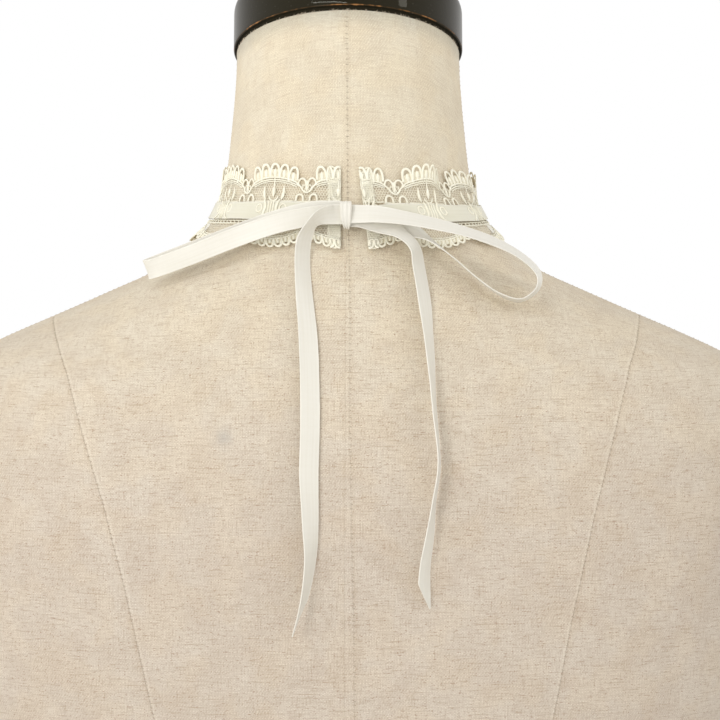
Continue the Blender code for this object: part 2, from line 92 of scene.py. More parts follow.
def put(tree, kind, inputs=None, **settings):
    """Adds a node with these settings, and gives each input named here a value or a link."""
    made = tree.nodes.new(kind)
    for key, value in settings.items():
        setattr(made, key, value)
    for name, value in (inputs or {}).items():
        if isinstance(value, bpy.types.NodeSocket):
            tree.links.new(value, made.inputs[name])
        else:
            made.inputs[name].default_value = value
    return made


def math_node(tree, operation, first, second=0.0):
    return put(tree, "ShaderNodeMath", {0: first, 1: second}, operation=operation).outputs[0]


def times(tree, first, second):
    return math_node(tree, "MULTIPLY", first, second)


def ranged(tree, value, low, high):
    """A value from 0 to 1, spread from low to high."""
    return put(tree, "ShaderNodeMapRange", {"Value": value, "To Min": low, "To Max": high}).outputs[0]


def build_surround():
    """A white room seen by the camera. Its light is stronger from the sides and weaker from below."""
    world = bpy.data.worlds.new("white_surround")
    world.use_nodes = True
    tree = world.node_tree
    tree.nodes.clear()
    way = put(tree, "ShaderNodeTexCoord").outputs["Generated"]
    split = put(tree, "ShaderNodeSeparateXYZ", {0: way})
    fall = put(tree, "ShaderNodeMapRange", {"Value": split.outputs[2], "From Min": LIGHT_FLOOR,
                                            "From Max": LIGHT_LEVEL, "To Min": SURROUND_LOW,
                                            "To Max": SURROUND_LIGHT})
    aside = math_node(tree, "ABSOLUTE", split.outputs[0])
    strength = times(tree, fall.outputs[0], ranged(tree, aside, 1.0, SIDE_GAIN))
    lighting = put(tree, "ShaderNodeBackground", {"Color": SURROUND_TINT, "Strength": strength})
    seen = put(tree, "ShaderNodeBackground", {"Color": WHITE, "Strength": SURROUND_SEEN})
    camera_ray = put(tree, "ShaderNodeLightPath").outputs["Is Camera Ray"]
    pick = put(tree, "ShaderNodeMixShader", {0: camera_ray, 1: lighting.outputs[0], 2: seen.outputs[0]})
    put(tree, "ShaderNodeOutputWorld", {"Surface": pick.outputs[0]})
    bpy.context.scene.world = world


def soft_light(lamp):
    """A soft box of the lamp's size, in metres, turned to face its aim."""
    box = bpy.data.lights.new(lamp.name, "AREA")
    box.shape = "RECTANGLE"
    box.size = lamp.wide
    box.size_y = lamp.tall
    box.energy = lamp.power
    box.color = lamp.tint
    light = bpy.data.objects.new(lamp.name, box)
    light.location = lamp.place
    light.rotation_euler = (Vector(lamp.aim) - Vector(lamp.place)).to_track_quat("-Z", "Y").to_euler()
    bpy.context.scene.collection.objects.link(light)


def new_finish(name):
    """A new material, its nodes and the shader among them."""
    made = bpy.data.materials.new(name)
    made.use_nodes = True
    return made, made.node_tree, made.node_tree.nodes["Principled BSDF"]


def build_floor():
    turns = [2 * math.pi * k / FLOOR_SIDES for k in range(FLOOR_SIDES)]
    rim = [(FLOOR_RADIUS * math.cos(t), FLOOR_RADIUS * math.sin(t), 0.0) for t in turns]
    mesh = bpy.data.meshes.new("floor")
    mesh.from_pydata(rim, [], [tuple(range(FLOOR_SIDES))])
    paint, _, shader = new_finish("pale_floor")
    shader.inputs["Base Color"].default_value = FLOOR_TONE
    shader.inputs["Roughness"].default_value = FLOOR_ROUGHNESS
    mesh.materials.append(paint)
    floor = bpy.data.objects.new("floor", mesh)
    bpy.context.scene.collection.objects.link(floor)


build_surround()
for lamp in LAMPS:
    soft_light(lamp)
build_floor()
bpy.context.scene.view_settings.view_transform = "Standard"


# Cover of the dress form: natural linen in plain weave, cut in eight panels and pulled tight over a
# padded shell. The panels meet in seams down the middle of the back and front, down the sides, and
# from the shoulders over the blades and the bust. The form under it is padded and never bare.
Section = namedtuple("Section", "height half_width back front side_y squareness tilt")
FORM_SECTIONS = [
    Section(0.0, 140.0, 80.0, -84.0, -2.0, 2.2, 0.0),
    Section(35.0, 142.0, 82.5, -88.0, -2.0, 2.2, 0.0),
    Section(80.0, 151.0, 88.5, -96.0, -2.0, 2.25, 0.0),
    Section(130.0, 169.5, 97.0, -105.0, -1.0, 2.4, 0.0),
    Section(165.0, 182.0, 102.5, -108.0, 0.0, 2.55, 0.0),
    Section(200.0, 187.5, 107.0, -105.0, 0.0, 2.65, 0.0),
    Section(240.0, 191.0, 109.5, -94.0, 1.0, 2.7, 0.0),
    Section(275.0, 193.5, 107.5, -81.0, 2.0, 2.6, 0.0),
    Section(298.0, 194.5, 103.5, -73.0, 2.0, 2.45, 0.0),
    Section(312.0, 193.5, 99.0, -69.0, 2.0, 2.3, 0.0),
    Section(322.0, 190.0, 95.2, -67.0, 2.0, 2.2, 0.0),
    Section(328.0, 184.0, 92.6, -66.2, 2.0, 2.1, 0.0),
    Section(333.0, 174.5, 90.2, -65.6, 2.0, 2.05, 0.0),
    Section(341.0, 157.0, 86.3, -65.0, 2.0, 2.0, 0.0),
    Section(350.0, 136.0, 82.0, -64.0, 2.0, 2.0, 0.0),
    Section(361.6, 109.5, 76.0, -63.0, 2.0, 2.0, 0.0),
    Section(369.5, 92.0, 72.0, -62.5, 1.5, 2.0, 0.0),
    Section(374.0, 84.0, 69.6, -62.0, 1.0, 2.0, 0.0),
    Section(379.0, 77.1, 67.0, -61.5, 0.5, 2.0, 0.0),
    Section(384.5, 71.6, 64.3, -61.0, 0.0, 2.0, 0.0),
    Section(390.0, 66.7, 61.8, -60.6, 0.0, 2.0, 0.0),
    Section(394.5, 63.2, 59.9, -60.3, 0.0, 2.0, 0.005),
    Section(400.0, 60.5, 57.8, -60.0, -0.5, 2.0, 0.015),
    Section(411.0, 58.0, 54.0, -61.0, -2.8, 2.0, 0.05),
    Section(422.0, 56.6, 50.4, -63.0, -5.6, 2.0, 0.11),
    Section(434.0, 55.4, 46.6, -65.4, -9.0, 2.0, 0.19),
    Section(450.0, 54.0, 41.4, -69.0, -13.6, 2.0, 0.28),
    Section(464.0, 53.2, 37.2, -72.4, -17.4, 2.0, 0.33),
    Section(472.0, 53.1, 35.0, -74.2, -19.4, 2.0, 0.345),
]
NECK_TOP = FORM_SECTIONS[-1]
BUST_REACH = 21.0
BUST_SIDE = 80.0
BUST_HEIGHT = 172.0
BUST_WIDTH = 56.0
BUST_TALL = 58.0
BUST_TURN = 3.0                 # how quickly a mound comes up from the side seam
COVER_RING_STEP = 2.0           # farthest that the cloth's mesh goes from one ring to the next
COVER_QUARTER = 66              # steps from the middle of the back to the side
FINE_RINGS = 1900               # rings, and turns in a quarter, by which the cloth's lengths are measured
FINE_TURNS = 480
BASE_ROUND = 3.0                # the cover turns under the base with this radius
BASE_INSET = 0.9                # how much of the base's size the last ring under it keeps
COVER_SHARP = math.radians(50)

TABLE = np.array(FORM_SECTIONS)


def table_slopes():
    """Slopes of the smooth curves through the table's rows, which never overshoot a row."""
    secants = np.diff(TABLE[:, 1:], axis=0) / np.diff(TABLE[:, :1], axis=0)
    before, after = secants[:-1], secants[1:]
    same_way = before * after > 0
    middle = np.zeros_like(before)
    middle[same_way] = (2 * before * after)[same_way] / (before + after)[same_way]
    return np.vstack([np.zeros(secants.shape[1]), middle, secants[-1]])


SLOPES = table_slopes()


def section_at(height):
    """The table's columns at each height."""
    height = np.clip(height, TABLE[0, 0], TABLE[-1, 0])
    k = np.clip(np.searchsorted(TABLE[:, 0], height, side="right") - 1, 0, len(TABLE) - 2)
    span = TABLE[k + 1, 0] - TABLE[k, 0]
    t = ((height - TABLE[k, 0]) / span)[..., None]
    span = span[..., None]
    rows = (TABLE[k, 1:] * (1 + 2 * t) * (1 - t) ** 2 + SLOPES[k] * span * t * (1 - t) ** 2
            + TABLE[k + 1, 1:] * t * t * (3 - 2 * t) + SLOPES[k + 1] * span * t * t * (t - 1))
    return np.moveaxis(rows, -1, 0)


def form_place(angle, height):
    """Points on the form, one for each angle and height."""
    angle, height = np.broadcast_arrays(np.asarray(angle, float), np.asarray(height, float))
    half_width, back, front, side_y, squareness, tilt = section_at(height)
    across, along = np.sin(angle), np.cos(angle)
    x = half_width * np.sign(across) * np.abs(across) ** (2 / squareness)
    reach = np.where(along >= 0, back - side_y, side_y - front)
    y = side_y + reach * np.sign(along) * np.abs(along) ** (2 / squareness)
    chest = np.clip(-along * BUST_TURN, 0.0, 1.0)
    for side in (-BUST_SIDE, BUST_SIDE):
        away = ((x - side) / BUST_WIDTH) ** 2 + ((height - BUST_HEIGHT) / BUST_TALL) ** 2
        y = y - BUST_REACH * np.exp(-away) * chest
    return np.stack([x, y, height + tilt * (y - side_y)], axis=-1)


def form_outward(angle, height):
    """The outward direction of the form's surface at each angle and height."""
    step_round, step_up = 0.01, 0.5
    round_it = form_place(angle + step_round, height) - form_place(angle - step_round, height)
    up_it = form_place(angle, height + step_up) - form_place(angle, height - step_up)
    outward = np.cross(up_it, round_it)
    return outward / np.linalg.norm(outward, axis=-1, keepdims=True)


def run_along(line):
    """The length along a line to each of its points."""
    return np.concatenate([[0.0], np.cumsum(np.linalg.norm(np.diff(line, axis=0), axis=1))])


def cover_heights():
    """Ring heights a fixed way apart over the surface, measured where it moves most."""
    fine = np.linspace(0.0, NECK_TOP.height, FINE_RINGS)
    ways = [np.linalg.norm(np.diff(form_place(np.full_like(fine, turn), fine), axis=0), axis=1)
            for turn in (0.0, math.pi / 2, math.pi)]
    run = np.concatenate([[0.0], np.cumsum(np.max(ways, axis=0))])
    count = int(run[-1] / COVER_RING_STEP)
    return np.interp(np.linspace(0, run[-1], count + 1), run, fine)


def even_quarter(height, first_turn):
    """Angles at even steps of cloth over one quarter of a ring, and the cloth's length to each."""
    fine = first_turn + np.linspace(0.0, math.pi / 2, FINE_TURNS)
    run = run_along(form_place(fine, np.full_like(fine, height)))
    steps = np.linspace(0.0, run[-1], COVER_QUARTER + 1)
    return np.interp(steps, run, fine), steps


def cover_rings():
    """The cover's points ring by ring, with each point's cloth length round from the middle of the
    back, or of the front on the front panels."""
    points, lengths = [], []
    for height in HEIGHTS_OF_COVER:
        angles, run = [], []
        for quarter in range(4):
            turns, steps = even_quarter(height, quarter * math.pi / 2)
            angles.append(turns)
            run.append(steps - steps[-1] * (quarter % 2))
        angle = np.stack(angles)
        ring = form_place(angle, np.full_like(angle, height))
        turn_under = BASE_ROUND - math.sqrt(BASE_ROUND ** 2 - max(0.0, BASE_ROUND - height) ** 2)
        ring -= form_outward(angle, np.full_like(angle, max(height, 1.0))) * (1, 1, 0) * turn_under
        points.append(ring)
        lengths.append(np.stack(run))
    return np.array(points), np.array(lengths)


HEIGHTS_OF_COVER = cover_heights()
COVER_POINTS, COVER_LENGTHS = cover_rings()
GRAIN_HEIGHT = 275.0            # where the cloth's length is counted from


def cloth_heights():
    """Each point's cloth length up from the widest ring, following the same thread from ring to ring."""
    middle = int(np.argmin(np.abs(HEIGHTS_OF_COVER - GRAIN_HEIGHT)))
    rise = np.zeros(COVER_LENGTHS.shape)
    for first, last, step in ((middle, len(rise) - 1, 1), (middle, 0, -1)):
        for ring in range(first, last, step):
            for quarter in range(4):
                here, there = COVER_LENGTHS[ring, quarter], COVER_LENGTHS[ring + step, quarter]
                before, after = COVER_POINTS[ring, quarter], COVER_POINTS[ring + step, quarter]
                before = np.stack([np.interp(there, here, places) for places in before.T], axis=-1)
                gap = np.linalg.norm(after - before, axis=-1)
                rise[ring + step, quarter] = np.interp(there, here, rise[ring, quarter]) + step * gap
    return rise


# Seam routes as (height, x) from the base up. A princess seam ends where it meets the shoulder seam.
BACK_MIDDLE = [(0.0, -4.2), (205.0, -3.1), (301.0, -1.2), (358.0, -1.2), (412.0, -0.1), (472.0, 0.5)]
FRONT_MIDDLE = [(0.0, 0.0), (472.0, 0.0)]
BACK_PANEL_LEFT = [(0.0, 64.0), (90.0, 72.0), (172.0, 86.3), (233.0, 99.3), (269.0, 108.8),
                   (300.0, 118.8), (324.0, 126.4), (338.0, 132.9), (345.3, 136.4), (350.0, 139.0)]
BACK_PANEL_RIGHT = [(0.0, -70.0), (90.0, -78.0), (172.0, -92.2), (216.0, -99.9), (262.0, -109.8),
                    (297.4, -119.1), (327.7, -127.7), (337.4, -132.1), (345.0, -134.6), (350.0, -137.5)]
FRONT_PANEL_LEFT = [(0.0, 62.0), (90.0, 70.0), (172.0, 80.0), (250.0, 100.0), (320.0, 124.0),
                    (350.0, 139.0)]
FRONT_PANEL_RIGHT = [(height, -x) for height, x in FRONT_PANEL_LEFT]
SEAM_ROUTES = [(BACK_MIDDLE, False), (BACK_PANEL_LEFT, False), (BACK_PANEL_RIGHT, False),
               (FRONT_MIDDLE, True), (FRONT_PANEL_LEFT, True), (FRONT_PANEL_RIGHT, True)]
SIDE_SEAMS = (math.pi / 2, 3 * math.pi / 2)
SEAM_STEP = 1.0


def seam_paths():
    """Every seam as points along it on the form, with the outward direction at each."""
    heights = np.arange(1.0, NECK_TOP.height, SEAM_STEP)
    paths = [(np.full_like(heights, turn), heights) for turn in SIDE_SEAMS]
    for route, front in SEAM_ROUTES:
        rows = np.array(route)
        x = np.interp(heights, rows[:, 0], rows[:, 1])
        half_width, squareness = section_at(heights)[0], section_at(heights)[4]
        share = np.abs(x) / half_width
        on_form = (share < 1.0) & (heights <= rows[-1, 0])
        angle = np.sign(x) * np.arcsin(np.clip(share, 0, 1) ** (squareness / 2))
        angle = math.pi - angle if front else angle
        paths.append((angle[on_form], heights[on_form]))
    return [(form_place(*path), form_outward(*path)) for path in paths]


SEAM_PATHS = seam_paths()


def seam_distances(points):
    """Each point's distance from the nearest seam, positive on the side away from the form's middle."""
    places = np.concatenate([path for path, outward in SEAM_PATHS])
    ways = np.concatenate([np.gradient(path, axis=0) for path, outward in SEAM_PATHS])
    ways /= np.linalg.norm(ways, axis=1, keepdims=True)
    tree = KDTree(len(places))
    for k, place in enumerate(places):
        tree.insert(place, k)
    tree.balance()
    nearest = np.array([tree.find(point)[1] for point in points])
    away = points - places[nearest]
    away -= ways[nearest] * np.sum(away * ways[nearest], axis=1, keepdims=True)
    return np.linalg.norm(away, axis=1) * np.sign(np.abs(points[:, 0]) - np.abs(places[nearest, 0]))


def mesh_object(name, points, faces, finish):
    """A smooth shaded mesh of points in millimetres."""
    mesh = bpy.data.meshes.new(name)
    mesh.from_pydata((np.asarray(points) * MM).tolist(), [], faces)
    mesh.materials.append(finish)
    mesh.shade_smooth()
    made = bpy.data.objects.new(name, mesh)
    bpy.context.scene.collection.objects.link(made)
    return made


def ring_faces(rings, around):
    """The faces between rings of points, for rings that follow each other in a mesh."""
    faces = []
    for ring in range(rings - 1):
        low, high = ring * around, (ring + 1) * around
        for k in range(around):
            after = (k + 1) % around
            faces.append((low + after, low + k, high + k, high + after))
    return faces


def note_points(mesh, name, values):
    """Writes a value on every point of a mesh, for its material or its nodes to read."""
    mesh.attributes.new(name, "FLOAT", "POINT").data.foreach_set("value", values)


def noted(tree, name):
    return put(tree, "ShaderNodeAttribute", attribute_name=name).outputs["Fac"]


def object_place(tree):
    return put(tree, "ShaderNodeTexCoord").outputs["Object"]


def flat_cloth(tree):
    return put(tree, "ShaderNodeUVMap", uv_map="cloth").outputs[0]


def plus(tree, first, second):
    return math_node(tree, "ADD", first, second)


def all_but(tree, share):
    """What is left of 1 when this share is taken away."""
    return math_node(tree, "SUBTRACT", 1.0, share)


def vector_node(tree, operation, first, second, result="Vector"):
    return put(tree, "ShaderNodeVectorMath", {0: first, 1: second}, operation=operation).outputs[result]


def noise(tree, vector, scale, detail=2.0):
    """Soft noise over a vector, about 0.5 in the middle."""
    return put(tree, "ShaderNodeTexNoise", {"Vector": vector, "Scale": scale, "Detail": detail}).outputs[0]


def mask(tree, value, low, high):
    """0 below low and 1 above high, with a smooth rise between them."""
    ramp = put(tree, "ShaderNodeMapRange", {"Value": value, "From Min": low, "From Max": high},
               interpolation_type="SMOOTHSTEP")
    return ramp.outputs[0]


def mix_colour(tree, share, first, second, how="MIX"):
    """The second colour laid over the first by this share."""
    made = put(tree, "ShaderNodeMix", {0: share, 6: first, 7: second}, data_type="RGBA", blend_type=how)
    return made.outputs[2]


def laid_on(tree, colour, over, share, strength):
    """A colour with another one over it, by this share times this strength."""
    return mix_colour(tree, times(tree, share, strength), colour, over)


def stretched(tree, vector, across, up):
    """The cloth's coordinates counted in patches this many millimetres across and up."""
    return vector_node(tree, "MULTIPLY", vector, (1 / (across * MM), 1 / (up * MM), 1.0))


def set_relief(tree, shader, height, depth, strength):
    """Bumps the surface by a height whose full range is this deep, in metres."""
    made = put(tree, "ShaderNodeBump", {"Height": height, "Distance": depth, "Strength": strength})
    tree.links.new(made.outputs[0], shader.inputs["Normal"])


FLOAT = "NodeSocketFloat"


def new_group(name, inputs, outputs):
    """A shader node group with these named sockets, each with its kind."""
    group = bpy.data.node_groups.new(name, "ShaderNodeTree")
    for label, kind in inputs:
        group.interface.new_socket(label, in_out="INPUT", socket_type=kind)
    for label, kind in outputs:
        group.interface.new_socket(label, in_out="OUTPUT", socket_type=kind)
    return group, group.nodes.new("NodeGroupInput"), group.nodes.new("NodeGroupOutput")


def build_weave_group():
    """Plain weave: a pillow where each thread comes up, and a tone of its own for each thread."""
    group, given, result = new_group(
        "plain_weave",
        [("Cloth", "NodeSocketVector"), ("Warp Pitch", FLOAT), ("Weft Pitch", FLOAT), ("Thread Run", FLOAT)],
        [("Height", FLOAT), ("Thread Tone", FLOAT), ("Warp Up", FLOAT)])
    split = put(group, "ShaderNodeSeparateXYZ", {0: given.outputs["Cloth"]})
    across = math_node(group, "DIVIDE", split.outputs[0], given.outputs["Warp Pitch"])
    up = math_node(group, "DIVIDE", split.outputs[1], given.outputs["Weft Pitch"])
    waves = [math_node(group, "SINE", times(group, way, math.pi)) for way in (across, up)]
    crossing = times(group, *waves)
    height = math_node(group, "POWER", math_node(group, "ABSOLUTE", crossing), 0.5)
    long_across = math_node(group, "DIVIDE", split.outputs[0], given.outputs["Thread Run"])
    long_up = math_node(group, "DIVIDE", split.outputs[1], given.outputs["Thread Run"])
    warp = put(group, "ShaderNodeCombineXYZ", {0: across, 1: long_up})
    weft = put(group, "ShaderNodeCombineXYZ", {0: long_across, 1: up})
    on_top = mask(group, crossing, -0.2, 0.2)
    tone = put(group, "ShaderNodeMix", {0: on_top, 2: noise(group, weft.outputs[0], 1.0, 1.0),
                                        3: noise(group, warp.outputs[0], 1.0, 1.0)}, data_type="FLOAT")
    group.links.new(height, result.inputs["Height"])
    group.links.new(tone.outputs[0], result.inputs["Thread Tone"])
    group.links.new(on_top, result.inputs["Warp Up"])
    return group


WEAVE = build_weave_group()
LINEN_PALE = (0.82, 0.765, 0.62, 1.0)
LINEN_DEEP = (0.57, 0.5, 0.38, 1.0)
# Tone of slubs and ribs, also laid on as painted shade in the weave's pits and outside the seams.
SLUB_AND_SHADE_TONE = (0.42, 0.31, 0.2, 1.0)
LINEN_FLECK = (0.33, 0.19, 0.12, 1.0)
LINEN_MOTTLE = (0.6, 0.52, 0.4, 1.0)
LINEN_CLOUD = (0.5, 0.39, 0.29, 1.0)
# The seam's dark line: partly its own dark, partly painted shade in the crease.
SEAM_LINE_AND_SHADE = (0.22, 0.16, 0.11, 1.0)
# Painted highlight on the turned edge inside each seam.
PAINTED_RIDGE_HIGHLIGHT = (0.86, 0.8, 0.68, 1.0)
WARM_DRIFT = (1.02, 1.0, 0.965, 1.0)
# Painted shade multiplied over the lower back, darker and cooler where less light falls.
LOW_PAINTED_SHADE = (0.855, 0.84, 0.9, 1.0)
# Painted shade multiplied over the linen just under the cap.
CAP_PAINTED_SHADE = (0.74, 0.77, 0.8, 1.0)
LINEN_PITCH = 0.68 * MM
LINEN_SWAY = 1.3 * MM           # how far a thread strays from its line
LINEN_RUN = 7.0 * MM            # how long a thread keeps one tone
TWILL_PITCH = 1.15 * MM         # the faint slanting ribs that show in patches of the cloth
TWILL_WAY = (0.84, 0.54, 0.0)
WEAVE_DEPTH = 0.12 * MM
Patch = namedtuple("Patch", "across up level strength")
SLUBS = [Patch(9.0, 0.7, 0.58, 0.36), Patch(0.6, 7.0, 0.6, 0.34), Patch(2.4, 0.7, 0.62, 0.42),
         Patch(26.0, 0.6, 0.64, 0.42)]
FLECKS = [Patch(1.7, 0.55, 0.63, 0.62), Patch(0.55, 1.6, 0.65, 0.55), Patch(4.0, 0.6, 0.65, 0.5),
          Patch(0.9, 0.7, 0.69, 0.7)]
NECK_CLEAN = (0.37, 0.43)       # heights in metres between which the slubs and clouds become fainter
LOW_PAINTED_SHADE_SPAN = (0.24, 0.42)       # and the painted shade of the lower back ends
SEAM_FAINT_BELOW = (0.34, 0.4)  # and the middle seam shows again
SEAM_FAINT_ABOVE = (0.405, 0.425)
CAP_LEAN = math.atan(NECK_TOP.tilt)
CAP_WAY = (0.0, -math.sin(CAP_LEAN), math.cos(CAP_LEAN))
CAP_LEVEL = float(np.dot(CAP_WAY, (0.0, NECK_TOP.side_y * MM, NECK_TOP.height * MM)))
# How far below the cut edge the painted shade under the cap reaches.
CAP_PAINTED_SHADE_DEPTH = 11.0 * MM
SMUDGE_PLACE = (54.6 * MM, 101.3 * MM, 298.2 * MM)
SMUDGE_RADIUS = 7.0 * MM
SMUDGE_TONE = (0.33, 0.32, 0.31, 1.0)
STITCH_STEP = 2.6


def woven(tree, cloth, warp_pitch, weft_pitch, thread_run):
    """The plain weave's height, tones and upper threads over a cloth's coordinates."""
    return put(tree, "ShaderNodeGroup", {"Cloth": cloth, "Warp Pitch": warp_pitch, "Weft Pitch": weft_pitch,
                                         "Thread Run": thread_run}, node_tree=WEAVE).outputs


def patched(tree, colour, over, patches, cloth, detail, rise, share):
    """Lays short stretches of another thread on a colour, each kind where noise passes its level."""
    for patch in patches:
        spots = noise(tree, stretched(tree, cloth, patch.across, patch.up), 1.0, detail)
        spots = times(tree, mask(tree, spots, patch.level, patch.level + rise), share)
        colour = laid_on(tree, colour, over, spots, patch.strength)
    return colour


def thread_colours_and_pit_shade(tree, cloth, swayed, place, weave, worn_in):
    """The cloth's colours: pale and deep threads, slanting ribs, painted shade in the weave's pits, slubs
    and flecks.
    """
    colour = laid_on(tree, LINEN_PALE, LINEN_DEEP, mask(tree, weave["Thread Tone"], 0.36, 0.66), 0.45)
    drift = mask(tree, noise(tree, place, 62.0), 0.42, 0.62)
    colour = mix_colour(tree, drift, colour, WARM_DRIFT, "MULTIPLY")
    slanting = vector_node(tree, "DOT_PRODUCT", swayed, TWILL_WAY, "Value")
    ribs = plus(tree, math_node(tree, "SINE", times(tree, slanting, 2 * math.pi / TWILL_PITCH)), 1.0)
    ribs = times(tree, ribs, mask(tree, noise(tree, place, 48.0), 0.4, 0.62))
    colour = laid_on(tree, colour, SLUB_AND_SHADE_TONE, ribs, 0.12)
    colour = laid_on(tree, colour, LINEN_DEEP, weave["Warp Up"], 0.28)
    # Painted shade in the weave's pits between the threads.
    colour = laid_on(tree, colour, SLUB_AND_SHADE_TONE, all_but(tree, weave["Height"]), 0.42)
    colour = patched(tree, colour, SLUB_AND_SHADE_TONE, SLUBS, cloth, 1.5, 0.09, worn_in)
    return patched(tree, colour, LINEN_FLECK, FLECKS, cloth, 2.0, 0.05, worn_in)


def wear_and_painted_shade(tree, colour, place, height, worn_in):
    """Wear and painted shade: mottling, clouds, painted shade on the lower back and under the cap, and one
    smudge.
    """
    mottle = mask(tree, noise(tree, place, 26.0, 3.0), 0.35, 0.68)
    colour = laid_on(tree, colour, LINEN_MOTTLE, mottle, 0.06)
    cloud = times(tree, mask(tree, noise(tree, place, 95.0, 4.0), 0.45, 0.75), worn_in)
    colour = laid_on(tree, colour, LINEN_CLOUD, cloud, 0.13)
    # Painted shade: the lower back darker and cooler, fading out towards the neck.
    painted_low_shade = all_but(tree, mask(tree, height, *LOW_PAINTED_SHADE_SPAN))
    colour = mix_colour(tree, painted_low_shade, colour, LOW_PAINTED_SHADE, "MULTIPLY")
    # Painted shade under the cap: the band of linen below the cut edge, darker towards it.
    level = vector_node(tree, "DOT_PRODUCT", place, CAP_WAY, "Value")
    painted_cap_shade = mask(tree, level, CAP_LEVEL - CAP_PAINTED_SHADE_DEPTH, CAP_LEVEL + MM)
    colour = mix_colour(tree, painted_cap_shade, colour, CAP_PAINTED_SHADE, "MULTIPLY")
    away = vector_node(tree, "DISTANCE", place, SMUDGE_PLACE, "Value")
    ragged = plus(tree, away, times(tree, noise(tree, place, 220.0), 6.0 * MM))
    smudge = all_but(tree, mask(tree, ragged, 0.3 * SMUDGE_RADIUS, 1.5 * SMUDGE_RADIUS))
    return laid_on(tree, colour, SMUDGE_TONE, smudge, 0.4)


def seam_colours(tree, colour, place, height, crease):
    """Seams: painted shade outside each, a painted highlight inside it, and a dark line between, partly
    painted shade.
    """
    seam = noted(tree, "seam")
    # Painted shade in a soft band outside each seam.
    outer = times(tree, mask(tree, seam, 0.1, 0.4), all_but(tree, mask(tree, seam, 1.0, 2.6)))
    colour = laid_on(tree, colour, SLUB_AND_SHADE_TONE, outer, 0.1)
    across = put(tree, "ShaderNodeSeparateXYZ", {0: place}).outputs[0]
    middle = all_but(tree, mask(tree, math_node(tree, "ABSOLUTE", across), 6.0 * MM, 12.0 * MM))
    # Painted highlight on the ridge inside each seam, except along the middle seams.
    ridge = times(tree, mask(tree, seam, -1.8, -1.1), all_but(tree, mask(tree, seam, -0.5, -0.2)))
    colour = laid_on(tree, colour, PAINTED_RIDGE_HIGHLIGHT, times(tree, ridge, all_but(tree, middle)), 0.14)
    low_back = times(tree, middle, all_but(tree, mask(tree, height, *SEAM_FAINT_BELOW)))
    beat = math_node(tree, "SINE", times(tree, height, 2 * math.pi / (STITCH_STEP * MM)))
    dotted = plus(tree, times(tree, beat, 0.2), 0.38)
    fainter = plus(tree, times(tree, low_back, 0.7), times(tree, mask(tree, height, *SEAM_FAINT_ABOVE), 0.6))
    # A dark dotted line along each crease, the seam's own dark with painted shade, fainter on the low back
    # and at the neck.
    return laid_on(tree, colour, SEAM_LINE_AND_SHADE, crease, times(tree, dotted, all_but(tree, fainter)))


def build_linen():
    """Linen whose threads run slubby and uneven, darkened along the seams and given painted shade low down
    and under the cap.
    """
    made, tree, shader = new_finish("linen")
    cloth, place = flat_cloth(tree), object_place(tree)
    sway = put(tree, "ShaderNodeTexNoise", {"Vector": cloth, "Scale": 330.0, "Detail": 2.0}).outputs["Color"]
    sway = vector_node(tree, "MULTIPLY", sway, (LINEN_SWAY, LINEN_SWAY, 0.0))
    swayed = vector_node(tree, "ADD", cloth, sway)
    weave = woven(tree, swayed, LINEN_PITCH, 0.93 * LINEN_PITCH, LINEN_RUN)
    height = put(tree, "ShaderNodeSeparateXYZ", {0: place}).outputs[2]
    worn_in = all_but(tree, times(tree, mask(tree, height, *NECK_CLEAN), 0.55))
    # The seams' crease dents the relief and also carries the seam's dark line, partly painted shade.
    crease = all_but(tree, mask(tree, math_node(tree, "ABSOLUTE", noted(tree, "seam")), 0.03, 0.26))
    colour = thread_colours_and_pit_shade(tree, cloth, swayed, place, weave, worn_in)
    colour = wear_and_painted_shade(tree, colour, place, height, worn_in)
    colour = seam_colours(tree, colour, place, height, crease)
    tree.links.new(colour, shader.inputs["Base Color"])
    set_relief(tree, shader, math_node(tree, "SUBTRACT", weave["Height"], crease), WEAVE_DEPTH, 0.7)
    shader.inputs["Roughness"].default_value = 0.92
    shader.inputs["Specular IOR Level"].default_value = 0.2
    shader.inputs["Sheen Weight"].default_value = 0.08
    return made


LINEN = build_linen()


def build_cover():
    """The cover as rings of cloth from the turned-under base to the neck's top."""
    rings, columns = len(COVER_POINTS), 4 * COVER_QUARTER
    points = COVER_POINTS[:, :, :-1].reshape(rings, columns, 3)
    flat_base = points[0] * (BASE_INSET, BASE_INSET, 1.0)
    points = np.concatenate([flat_base[None], points]).reshape(-1, 3)
    faces = ring_faces(rings + 1, columns)
    faces.append(tuple(range(columns)))
    faces.append(tuple(reversed(range(rings * columns, len(points)))))
    cover = mesh_object("form_cover", points, faces, LINEN)
    lay_cloth_map(cover.data, rings, columns)
    note_points(cover.data, "seam", seam_distances(points))
    cover.data.set_sharp_from_angle(angle=COVER_SHARP)
    return cover


def lay_cloth_map(mesh, rings, columns):
    """Each corner's place in the flat cloth, in metres, so that the weave follows every panel."""
    rise = cloth_heights()
    layer = mesh.uv_layers.new(name="cloth")
    corners = np.zeros((len(mesh.loops), 2))
    k = 0
    for ring in range(rings):
        low, high = max(ring - 1, 0), ring
        for column in range(columns):
            quarter, step = divmod(column, COVER_QUARTER)
            for row, place in ((low, step + 1), (low, step), (high, step), (high, step + 1)):
                corners[k] = COVER_LENGTHS[row, quarter, place], rise[row, quarter, place]
                k += 1
    layer.data.foreach_set("uv", (corners * MM).ravel())


form_cover = build_cover()
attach(form_cover, "root")
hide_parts("form_body")


